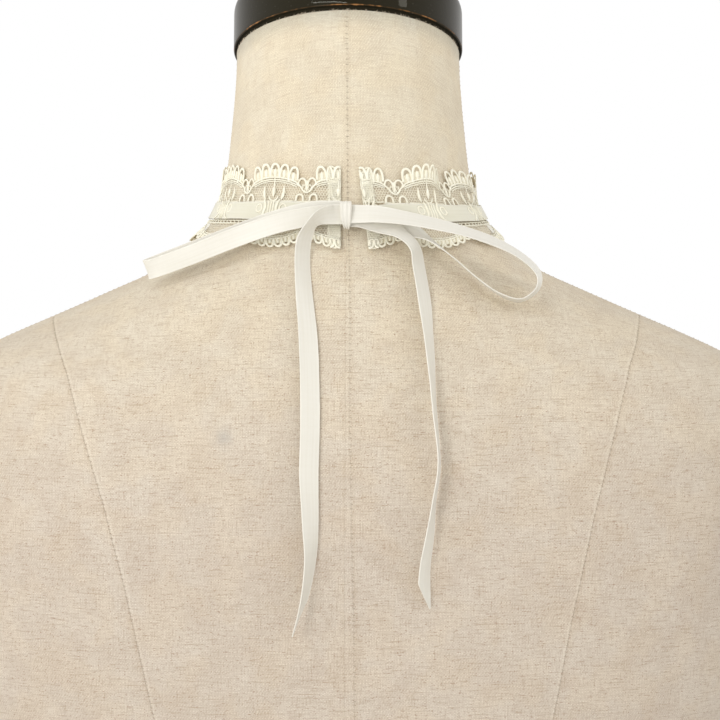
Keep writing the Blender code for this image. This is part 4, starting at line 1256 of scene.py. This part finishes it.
def height_across(angle, across):
    """The height on the form, this far up or down its surface from the ribbon's middle line."""
    dip = LINE_DIP * bump((np.degrees(angle) - LINE_DIP_PLACE) / LINE_DIP_LENGTH)
    height = LACE_LINE - dip
    sag = TOP_SAG * bump((np.degrees(angle) - TOP_SAG_PLACE) / TOP_SAG_LENGTH)
    left_over = np.abs(across) * np.where(across > 0, 1 - sag, 1.0)
    step = np.where(across > 0, 1.0, -1.0)
    here = form_place(angle, height)
    while np.any(left_over > 0):
        there = form_place(angle, height + step)
        length = np.linalg.norm(there - here, axis=-1)
        height = height + step * np.clip(left_over / length, 0, 1)
        left_over = left_over - length
        here = there
    return height


def lace_lift(angle, across):
    """How far the lace's inner side stands off the neck."""
    up = np.clip(across / LACE_TOP_PEAK, 0, None) ** TOP_LIFT_POWER
    down = np.clip(-across / LACE_FOOT_PEAK, 0, None) ** FOOT_FLARE_POWER
    waves = sum(w.lift * bump((np.degrees(angle) - w.place) / w.half_length) for w in TOP_WAVES)
    return LACE_CLEARANCE + up * waves + FOOT_FLARE * down


def lace_place(scallop, across, out):
    """Places on the neck for flat places in the lace. Past its ends the lace is folded back on itself."""
    over = np.clip(-scallop, 0, None) + np.clip(scallop - SCALLOPS, 0, None)
    out = out + HEM_LIFT * np.clip(over * PITCH / HEM_TURN, 0, 1)
    scallop = SCALLOPS - np.abs(SCALLOPS - np.abs(scallop))
    near_end = bump(scallop / END_DROP_LENGTH) + bump((SCALLOPS - scallop) / END_DROP_LENGTH)
    across = across - END_DROP * near_end * np.clip(across / LACE_TOP_PEAK, 0, 1)
    angle = lace_angle(scallop, across)
    height = height_across(angle, across)
    lift = lace_lift(angle, across) + out
    return form_place(angle, height) + form_outward(angle, height) * lift[..., None]


def top_edge(scallop):
    share = np.abs(np.cos(math.pi * scallop)) ** TOP_ROUNDNESS
    return LACE_TOP_LOW + (LACE_TOP_PEAK - LACE_TOP_LOW) * share


def foot_edge(scallop):
    share = np.abs(np.cos(math.pi * scallop)) ** FOOT_ROUNDNESS
    return -(LACE_FOOT_LOW + (LACE_FOOT_PEAK - LACE_FOOT_LOW) * share)


# Threads of one scallop, drawn flat: x along the lace from the scallop's peak, y across it from the
# ribbon's middle. Each has a half width, and the height of its middle over the lace's inner side.
Thread = namedtuple("Thread", "points half_width out closed")
LOW = PITCH / 2                 # where two scallops meet
ON_NET = 0.62                   # heights of a thread's middle over the lace's inner side
ON_BORDER = 0.72
OVER_RIBBON = 1.78
CURVE_STEP = 0.6                # how far apart the points of a curved and of a straight thread are
STRAIGHT_STEP = 1.4


def spaced(points, step):
    """The same line with its points this far apart."""
    points = np.asarray(points, float)
    run = run_along(points)
    place = np.linspace(0, run[-1], max(2, int(round(run[-1] / step)) + 1))
    return np.stack([np.interp(place, run, points[:, axis]) for axis in (0, 1)], axis=1)


def curved(points, half_width, out, closed=False):
    """A thread along a curve."""
    return Thread(spaced(points, CURVE_STEP), half_width, out, closed)


def straight(points, half_width, out):
    """A thread of straight runs."""
    return Thread(spaced(points, STRAIGHT_STEP), half_width, out, False)


def arc(x, y, wide, tall, start, end, lean=0.0, power=1.0):
    """Part of an oval from one angle to another, leaning along the lace as it rises."""
    turn = np.radians(np.linspace(start, end, 60))
    across, up = np.cos(turn), np.sin(turn)
    across = np.sign(across) * np.abs(across) ** power
    up = np.sign(up) * np.abs(up) ** power
    return np.stack([x + wide * across + lean * tall * up, y + tall * up], axis=1)


def mirrored(threads):
    """Threads and their mirror images on the peak's other side."""
    return threads + [Thread(t.points * (-1, 1), t.half_width, t.out, t.closed) for t in threads]


def leaf_thread(points, widest, out, fullest=1.0):
    """A thread that swells from a thin start and tapers again, as a satin stitched leaf does."""
    share = np.linspace(0, 1, len(points))
    return Thread(points, 0.2 + (widest - 0.2) * np.sin(math.pi * share ** fullest) ** 0.8, out, False)


LOOPS = 7                       # loops along the upper edge of one scallop
LOOP_STEP = PITCH / LOOPS
FOOT_LOOPS = 9
FOOT_STEP = PITCH / FOOT_LOOPS
FOOT_BORDER = 0.84 * BORDER_DEEP
RIM_HALF = 0.66
NOTCH_TOP = 15.6                # top of the open loop on each side of the notch between two scallops
NOTCH_BASE = 12.2
NOTCH_FOOT = 8.7
NOTCH_REACH = 4.7
EYELET_SIDE = 3.3
EYELET_HALF = 1.75
EYELET_FOOT = 4.5
RAIL_TOP = 4.9                  # cords along the ribbon, above and below it
RAIL_FOOT = -4.9
RAIL_LOW = -6.5
TOP_CORDS = [(0.0, 0.46), (1.1, 0.36), (2.0, 0.26)]     # how far below the loops, and half width
FOOT_CORDS = [(0.0, 0.44), (-1.0, 0.28)]


def edge_loop(x, foot, top, step, lean, leaf_share, leaf_half):
    """One arch of a border between its foot and its outer top, with a leaf in it."""
    loop = arc(x, foot, step, top - foot, 0, 180, lean, 0.8)
    start = foot - math.copysign(0.2, top - foot)
    leaf = spaced([(x, start), (x + lean * 3, foot + leaf_share * (top - foot))], 0.5)
    return [curved(loop, RIM_HALF, ON_BORDER), leaf_thread(leaf, leaf_half, ON_BORDER - 0.1)]


def border_threads():
    """Looped arches along both edges, each with a leaf in it, on a cord along their foot."""
    middle, sides = [], []
    for k in range(3):
        x = k * LOOP_STEP
        edge = float(top_edge(x / PITCH))
        arch = edge_loop(x, edge - BORDER_DEEP, edge + ARCH_RISE, LOOP_STEP / 2 - 0.1, 0.05 * k, 0.66, 1.1)
        (sides if k else middle).extend(arch)
    for k in range(5):
        x = k * FOOT_STEP
        under = float(foot_edge(x / PITCH)) - ARCH_RISE
        arch = edge_loop(x, under + FOOT_BORDER, under, FOOT_STEP / 2 - 0.08, 0.0, 0.62, 0.75)
        (sides if k else middle).extend(arch)
    x = np.linspace(0, LOW, 60)
    high = np.stack([x, top_edge(x / PITCH) - BORDER_DEEP], axis=1)[x < LOW - NOTCH_REACH]
    low = np.stack([x, foot_edge(x / PITCH) - ARCH_RISE + FOOT_BORDER], axis=1)
    for line, cords in ((high, TOP_CORDS), (low, FOOT_CORDS)):
        for drop, half in cords:
            sides.append(Thread(spaced(line - (0, drop), 1.0), half, ON_BORDER - drop * 0.05, False))
    return middle + mirrored(sides)


def meeting_threads():
    """Where two scallops meet: open loops and a V of cord at the notch, over two arched eyelets."""
    threads = [straight([(LOW, NOTCH_BASE + 2.6), (LOW, NOTCH_FOOT + 0.6)], 0.46, ON_BORDER),
               straight([(LOW - 6.0, EYELET_FOOT), (LOW + 6.0, EYELET_FOOT)], 0.45, ON_BORDER)]
    for side in (-1, 1):
        loop = arc(LOW + side * 2.45, NOTCH_BASE, 2.0, NOTCH_TOP - NOTCH_BASE, 0, 180, 0.0, 0.9)
        bead = arc(LOW + side * 1.35, 11.2, 0.8, 1.4, 0, 360)
        vee_top = float(top_edge((LOW - NOTCH_REACH) / PITCH)) - BORDER_DEEP
        vee = [(LOW + side * (NOTCH_REACH + 0.6), vee_top + 0.2), (LOW + side * 3.0, 11.6),
               (LOW + side * 1.7, 9.6), (LOW, NOTCH_FOOT)]
        eyelet = arc(LOW + side * EYELET_SIDE, EYELET_FOOT, EYELET_HALF, 3.5, 0, 180, 0.0, 0.7)
        threads += [curved(loop, 0.5, ON_BORDER), curved(bead, 0.26, ON_BORDER, closed=True),
                    curved(vee, 0.46, ON_BORDER + 0.05), curved(eyelet, 0.55, ON_BORDER)]
    return threads


def peak_threads():
    """Under each peak: a stem with a ball at its foot, a cup under it and a leaf each side."""
    stem = straight([(0, LACE_TOP_PEAK - BORDER_DEEP), (0, 11.0)], 0.36, ON_NET)
    ball = leaf_thread(spaced([(0, 11.9), (0, 10.4), (0, 8.6), (0, 7.0)], 0.4), 1.1, ON_BORDER + 0.1, 0.8)
    cup = curved(arc(0.0, 7.3, 2.4, 2.1, 182, 358), 0.46, ON_BORDER)
    leaf = spaced([(5.3, 12.4), (5.4, 9.6), (5.1, 7.4), (4.2, 5.4)], 0.55)
    return [stem, ball, cup] + mirrored([leaf_thread(leaf, 0.85, ON_BORDER, 1.25)])


def ribbon_threads():
    """Bridges that hold the ribbon down under each peak: bars in the middle and a scroll each side."""
    threads = [straight([(x, -4.7), (x, RAIL_TOP)], 0.4, OVER_RIBBON) for x in (-1.3, 0.0, 1.3)]
    petal = [(4.2, 5.6), (3.2, 3.4), (2.9, 1.2), (3.4, -1.4), (5.0, -3.6), (7.0, -4.7)]
    threads += mirrored([
        curved(arc(6.3, 1.2, 1.6, 2.0, 0, 360), 0.42, OVER_RIBBON, closed=True),
        leaf_thread(spaced(petal, CURVE_STEP), 0.8, OVER_RIBBON, 0.8),
        straight([(0, RAIL_TOP), (LOW - 6.2, RAIL_TOP)], 0.3, ON_BORDER),
        straight([(0, RAIL_FOOT), (LOW, RAIL_FOOT)], 0.36, ON_BORDER),
        straight([(0, RAIL_LOW), (LOW, RAIL_LOW)], 0.34, ON_BORDER)])
    for bar in range(ARCHES):
        x = (bar + 0.5) * PITCH / (2 * ARCHES)
        threads += mirrored([Thread(np.array([(x, -4.8), (x, -6.6)]), 0.38, ON_BORDER + 0.08, False)])
    return threads


def scallop_threads():
    return border_threads() + meeting_threads() + peak_threads() + ribbon_threads()


HEM = HEM_WIDTH / PITCH
END_TAKE = 0.03                 # share of a scallop that each turned end takes up beyond a whole peak
STRETCH = 1 + 2 * END_TAKE / SCALLOPS


def along_lace(pattern):
    """The place along the lace, in scallops, of a place in the repeated pattern."""
    return (np.asarray(pattern) - SCALLOPS / 2) * STRETCH + SCALLOPS / 2


def in_pattern(scallop):
    return (np.asarray(scallop) - SCALLOPS / 2) / STRETCH + SCALLOPS / 2


def hem_lines():
    """Two rows of whipping down each turned-under end."""
    lines = []
    for inset in (0.4, HEM_WIDTH - 0.3):
        for scallop in (inset / PITCH, SCALLOPS - inset / PITCH):
            place = in_pattern(scallop)
            y = np.arange(float(foot_edge(place)), float(top_edge(place)), STRAIGHT_STEP / 2)
            full = np.ones_like(y)
            rows = [scallop * full, y, 0.38 + 0.12 * np.sin(5 * y), (ON_BORDER + 0.1) * full, y - y[0]]
            lines.append((np.stack(rows, axis=1), False))
    return lines


def lace_threads():
    """Every scallop's threads along the lace as (scallop, y, half width, out, run), cut at the hems."""
    lines = hem_lines()
    for peak in range(SCALLOPS + 1):
        for thread in scallop_threads():
            points = thread.points[:-1] if thread.closed else thread.points
            width = np.broadcast_to(thread.half_width, len(thread.points))[:len(points)]
            scallop = along_lace(peak + points[:, 0] / PITCH)
            run = run_along(points)
            rows = np.stack([scallop, points[:, 1], width, np.full(len(points), thread.out), run], axis=1)
            kept = (scallop > -HEM) & (scallop < SCALLOPS + HEM)
            if kept.all():
                lines.append((rows, thread.closed))
                continue
            edges = np.flatnonzero(np.diff(np.concatenate([[0], kept.astype(int), [0]])))
            lines += [(rows[a:b], False) for a, b in edges.reshape(-1, 2) if b - a > 1]
    return lines


def net_tree(finish, star):
    """Sets a three-armed star of net at every point."""
    tree, given = new_growth("net_stars", "Size", "NodeSocketFloat")
    shape = put(tree, "GeometryNodeObjectInfo", {"Object": star})
    dots = put(tree, "GeometryNodeMeshToPoints", {"Mesh": given.outputs["Geometry"]})
    stars = put(tree, "GeometryNodeInstanceOnPoints",
                {"Points": dots.outputs[0], "Instance": shape.outputs["Geometry"],
                 "Scale": given.outputs["Size"]})
    return end_growth(tree, stars.outputs[0], finish)


COTTON_PALE = (0.86, 0.835, 0.71, 1.0)
COTTON_WARM = (0.83, 0.795, 0.655, 1.0)
PAINTED_GROUND_SHADE = (0.86, 0.83, 0.77, 1.0)
STITCHES = 20.0                 # how close the stitches lie along a cord


def build_lace_thread():
    """Soft ivory cotton, its stitches lying across each cord, with painted shade on the border's close
    stitching.
    """
    made, tree, shader = new_finish("ivory_lace_thread")
    place = object_place(tree)
    wobble = times(tree, noise(tree, place, 900.0, 1.0), 2.5)
    stitch = math_node(tree, "SINE", plus(tree, times(tree, noted(tree, "run"), STITCHES), wobble))
    tone = mask(tree, noise(tree, place, 350.0, 3.0), 0.3, 0.7)
    colour = mix_colour(tree, tone, COTTON_PALE, COTTON_WARM)
    # Painted shade multiplied over the close stitching that fills the border's loops.
    colour = mix_colour(tree, noted(tree, "ground"), colour, PAINTED_GROUND_SHADE, "MULTIPLY")
    tree.links.new(colour, shader.inputs["Base Color"])
    set_relief(tree, shader, plus(tree, stitch, noise(tree, place, 3500.0)), FUZZ_DEPTH, 0.15)
    shader.inputs["Roughness"].default_value = 0.75
    shader.inputs["Specular IOR Level"].default_value = 0.3
    return made


LACE_THREAD = build_lace_thread()
THREAD_SIDES = 5
THREAD_FLATNESS = 0.45


def embroidery():
    """Points in flat lace coordinates, faces and each point's run, of all the embroidered threads."""
    points, edges, widths, outs, runs = [], [], [], [], []
    for rows, closed in lace_threads():
        first, count = len(points), len(rows)
        points += [(row[0] * PITCH, row[1], 0.0) for row in rows]
        edges += [(first + k, first + k + 1) for k in range(count - 1)]
        if closed:
            edges.append((first + count - 1, first))
        widths += list(rows[:, 2])
        outs += list(rows[:, 3])
        runs += list(rows[:, 4])
    lines = line_object("lace_lines", points, edges, {"half_width": widths, "out": outs, "run": runs})
    swept = grown(lines, sweep_tree(LACE_THREAD), Sides=THREAD_SIDES)
    flat = read_points(swept)
    flat[:, 2] = flat[:, 2] * THREAD_FLATNESS + read_attribute(swept, "out")
    return flat, read_faces(swept), read_attribute(swept, "run")


NET_PITCH = 1.3
NET_STRAY = 0.05
STRAND = 0.1                    # half width of one strand of the net
STRAND_FOOT = -0.02
STRAND_TOP = 0.05
STRAND_PAST = 0.02              # how far each arm reaches into the next
NET_OUT = 0.5
HEM_LAYERS = [(NET_PITCH / 2, 0.14), (0.0, 0.1)]        # how far the hem's other layers are shifted
EYELET_NET_TOP = 7.6            # the eyelets are open up to here
SLOT_TOP = 5.1                  # the net stops here above the ribbon, and here below it
SLOT_FOOT = -6.7
NET_MARGIN = 0.3                # how far the net runs under the borders
NET_PAST = 0.4                  # and past the notches' foot and the hems' stitches


def net_points():
    """Where the net has a star: every second corner of its six-sided holes, inside the lace's ground."""
    row_step = NET_PITCH * math.sqrt(3) / 2
    length, random = SCALLOPS * PITCH, np.random.default_rng(21)
    rows = []
    for k in range(int(-LACE_FOOT_PEAK / row_step), int(LACE_TOP_PEAK / row_step)):
        y = k * row_step
        x = np.arange(-HEM_WIDTH, length + HEM_WIDTH, NET_PITCH) + (k % 2) * NET_PITCH / 2
        place = in_pattern(x / PITCH)
        border_top = top_edge(place) - BORDER_DEEP + NET_MARGIN
        border_foot = foot_edge(place) - ARCH_RISE + FOOT_BORDER - NET_MARGIN
        upper = (y > SLOT_TOP) & (y < border_top)
        lower = (y < SLOT_FOOT) & (y > border_foot)
        from_low = np.abs(place * PITCH % PITCH - LOW)
        notch = (from_low < NOTCH_REACH) & (y > SLOT_TOP) & (y < NOTCH_BASE + NET_PAST)
        eyelet = (np.abs(from_low - EYELET_SIDE) < EYELET_HALF - 0.2) & (y < EYELET_NET_TOP) & (y > 0)
        turned = (x < HEM_WIDTH + NET_PAST) | (x > length - HEM_WIDTH - NET_PAST)
        hem = turned & ((y > SLOT_TOP) | (y < SLOT_FOOT)) & (y < top_edge(place)) & (y > foot_edge(place))
        star = ((upper | lower | notch) & ~eyelet) | hem
        rows.append(np.stack([x[star], np.full(star.sum(), y), np.full(star.sum(), NET_OUT)], axis=1))
        folded = np.stack([x[hem], np.full(hem.sum(), y), np.full(hem.sum(), NET_OUT)], axis=1)
        rows += [folded + (aside, row_step / 3, out) for aside, out in HEM_LAYERS]
    points = np.concatenate(rows)
    return points + random.uniform(-NET_STRAY, NET_STRAY, points.shape) * (1, 1, 0)


def net_star():
    """Three thin arms from one corner of the net: a low roof over a flat underside."""
    tip, arm = NET_PITCH / math.sqrt(3) + STRAND_PAST, STRAND / math.sin(math.pi / 3)
    rim = []
    for turn in np.radians((90, 210, 330)):
        ahead = np.array([math.cos(turn), math.sin(turn)])
        aside = np.array([-math.sin(turn), math.cos(turn)])
        fork = turn + math.radians(60)
        rim += [ahead * tip - aside * STRAND, ahead * tip + aside * STRAND,
                np.array([math.cos(fork), math.sin(fork)]) * arm]
    points = [(x, y, STRAND_FOOT) for x, y in rim] + [(0.0, 0.0, STRAND_TOP)]
    corners = len(rim)
    faces = [(k, (k + 1) % corners, corners) for k in range(corners)] + [(8, 5, 2)]
    faces += [(first + 2, first + 1, first, (first - 1) % corners) for first in (0, 3, 6)]
    mesh = bpy.data.meshes.new("net_star")
    mesh.from_pydata(points, [], faces)
    return bpy.data.objects.new("net_star", mesh)


GROUND_STEP = 0.9
GROUND_OUT = 0.46
GROUND_THICK = 0.12
GROUND_MARGIN = 0.3             # how far the stitching stops short of the lace's ends
GROUND_UNDER = 0.1              # how far it runs past the cord along the border's foot
GROUND_SHARE = 0.64             # how much of each loop's height the close stitching fills


def border_strips():
    """Rows of (x, inner y, outer y): the close stitching that fills the foot of each border's loops."""
    x = np.arange(GROUND_MARGIN, SCALLOPS * PITCH - GROUND_MARGIN, GROUND_STEP)
    place = in_pattern(x / PITCH)
    from_low = np.abs(place * PITCH % PITCH - LOW)
    inner = top_edge(place) - BORDER_DEEP - GROUND_UNDER
    upper = np.stack([x, inner, inner + GROUND_SHARE * (BORDER_DEEP + ARCH_RISE)], axis=1)
    inner = foot_edge(place) - ARCH_RISE + FOOT_BORDER + GROUND_UNDER
    lower = np.stack([x, inner - GROUND_SHARE * FOOT_BORDER, inner], axis=1)
    breaks = np.nonzero(np.diff((from_low > NOTCH_REACH).astype(int)))[0] + 1
    runs = [run for run in np.split(np.arange(len(x)), breaks) if from_low[run[0]] > NOTCH_REACH]
    return [upper[run] for run in runs if len(run) > 1] + [lower]


def border_ground():
    """Thin closed strips in flat lace coordinates, and their faces."""
    points, faces = [], []
    for strip in border_strips():
        first, count = len(points), len(strip)
        for x, low, high in strip:
            for y, out in ((low, 0.0), (high, 0.0), (high, GROUND_THICK), (low, GROUND_THICK)):
                points.append((x, y, GROUND_OUT + out))
        for k in range(count - 1):
            here, after = first + 4 * k, first + 4 * k + 4
            for side in range(4):
                turn = (side + 1) % 4
                faces.append((here + side, here + turn, after + turn, after + side))
        last = first + 4 * (count - 1)
        faces += [(first + 3, first + 2, first + 1, first), (last, last + 1, last + 2, last + 3)]
    return np.array(points), faces


def net():
    """Points in flat lace coordinates and faces of all the net's strands."""
    mesh = bpy.data.meshes.new("net_points")
    mesh.from_pydata(net_points().tolist(), [], [])
    base = bpy.data.objects.new("net_points", mesh)
    bpy.context.scene.collection.objects.link(base)
    star = net_star()
    bpy.context.scene.collection.objects.link(star)
    grown_net = grown(base, net_tree(LACE_THREAD, star), Size=1.0)
    bpy.data.objects.remove(star)
    return read_points(grown_net), read_faces(grown_net)


def build_lace():
    threads, thread_faces, thread_run = embroidery()
    strands, strand_faces = net()
    ground, ground_faces = border_ground()
    flat = np.concatenate([threads, strands, ground])
    faces = thread_faces + [tuple(k + len(threads) for k in face) for face in strand_faces]
    faces += [tuple(k + len(threads) + len(strands) for k in face) for face in ground_faces]
    placed = lace_place(flat[:, 0] / PITCH, flat[:, 1], flat[:, 2])
    lace = mesh_object("choker_lace", placed, faces, LACE_THREAD)
    smooth = [True] * len(thread_faces) + [False] * (len(strand_faces) + len(ground_faces))
    lace.data.polygons.foreach_set("use_smooth", smooth)
    face_outward(lace.data)
    note_points(lace.data, "run", np.concatenate([thread_run, np.zeros(len(strands)), ground[:, 0]]))
    on_ground = [np.zeros(len(threads) + len(strands)), np.ones(len(ground))]
    note_points(lace.data, "ground", np.concatenate(on_ground))
    return lace


choker_lace = build_lace()
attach(choker_lace, "root")
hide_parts("lace_band")


# Ribbon in the lace: satin ribbon threaded along the lace's middle, under the bridges at each peak
# and over the lace between them. It droops a little to the knot at the back.
BAND_ROWS = 720
BAND_DROOP = 2.2
BAND_START = math.radians(3.4)
BAND_END = math.radians(360 - 2.6)
DROOP_LENGTH = math.radians(24)
BAND_UNDER_BRIDGES = 1.3
BAND_OVER_LACE = 1.65
BRIDGE_STEEP = 2.2              # how quickly the ribbon goes down to the bridges
BRIDGE_SHIFT = 0.6              # above 0, it stays down for longer than it is up
BAND_CURL = 0.06
# Painted shade: the ribbon in the lace takes a darker, warmer copy of the bow's satin.
BAND_PAINTED_SHADE_PALE = (0.665, 0.645, 0.53, 1.0)
BAND_PAINTED_SHADE_WARM = (0.635, 0.61, 0.49, 1.0)


def build_band():
    angle = np.linspace(BAND_START, BAND_END, BAND_ROWS)
    scallop = (angle - LACE_START) / (LACE_END_TOP - LACE_START) * SCALLOPS
    bridged = np.clip(np.cos(2 * math.pi * scallop) * BRIDGE_STEEP + BRIDGE_SHIFT, -1, 1) / 2 + 0.5
    lift = BAND_OVER_LACE + (BAND_UNDER_BRIDGES - BAND_OVER_LACE) * bridged
    from_end = np.minimum(angle - BAND_START, BAND_END - angle)
    near_end = bump(from_end / DROOP_LENGTH)
    edges = []
    for side in (RIBBON_WIDTH / 2, -RIBBON_WIDTH / 2):
        across = side - BAND_DROOP * near_end
        height = height_across(angle, across)
        away = lace_lift(angle, across) + lift
        edges.append(form_place(angle, height) + form_outward(angle, height) * away[:, None])
    # The ribbon round the neck: a darker, warmer copy of the bow's satin, as painted shade.
    satin = build_satin("ivory_satin_shaded", BAND_PAINTED_SHADE_PALE, BAND_PAINTED_SHADE_WARM)
    return ribbon_piece("choker_ribbon", *edges, seed=34, curl=BAND_CURL, finish=satin)


choker_ribbon = build_band()
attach(choker_ribbon, "root")
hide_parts("ribbon_band")
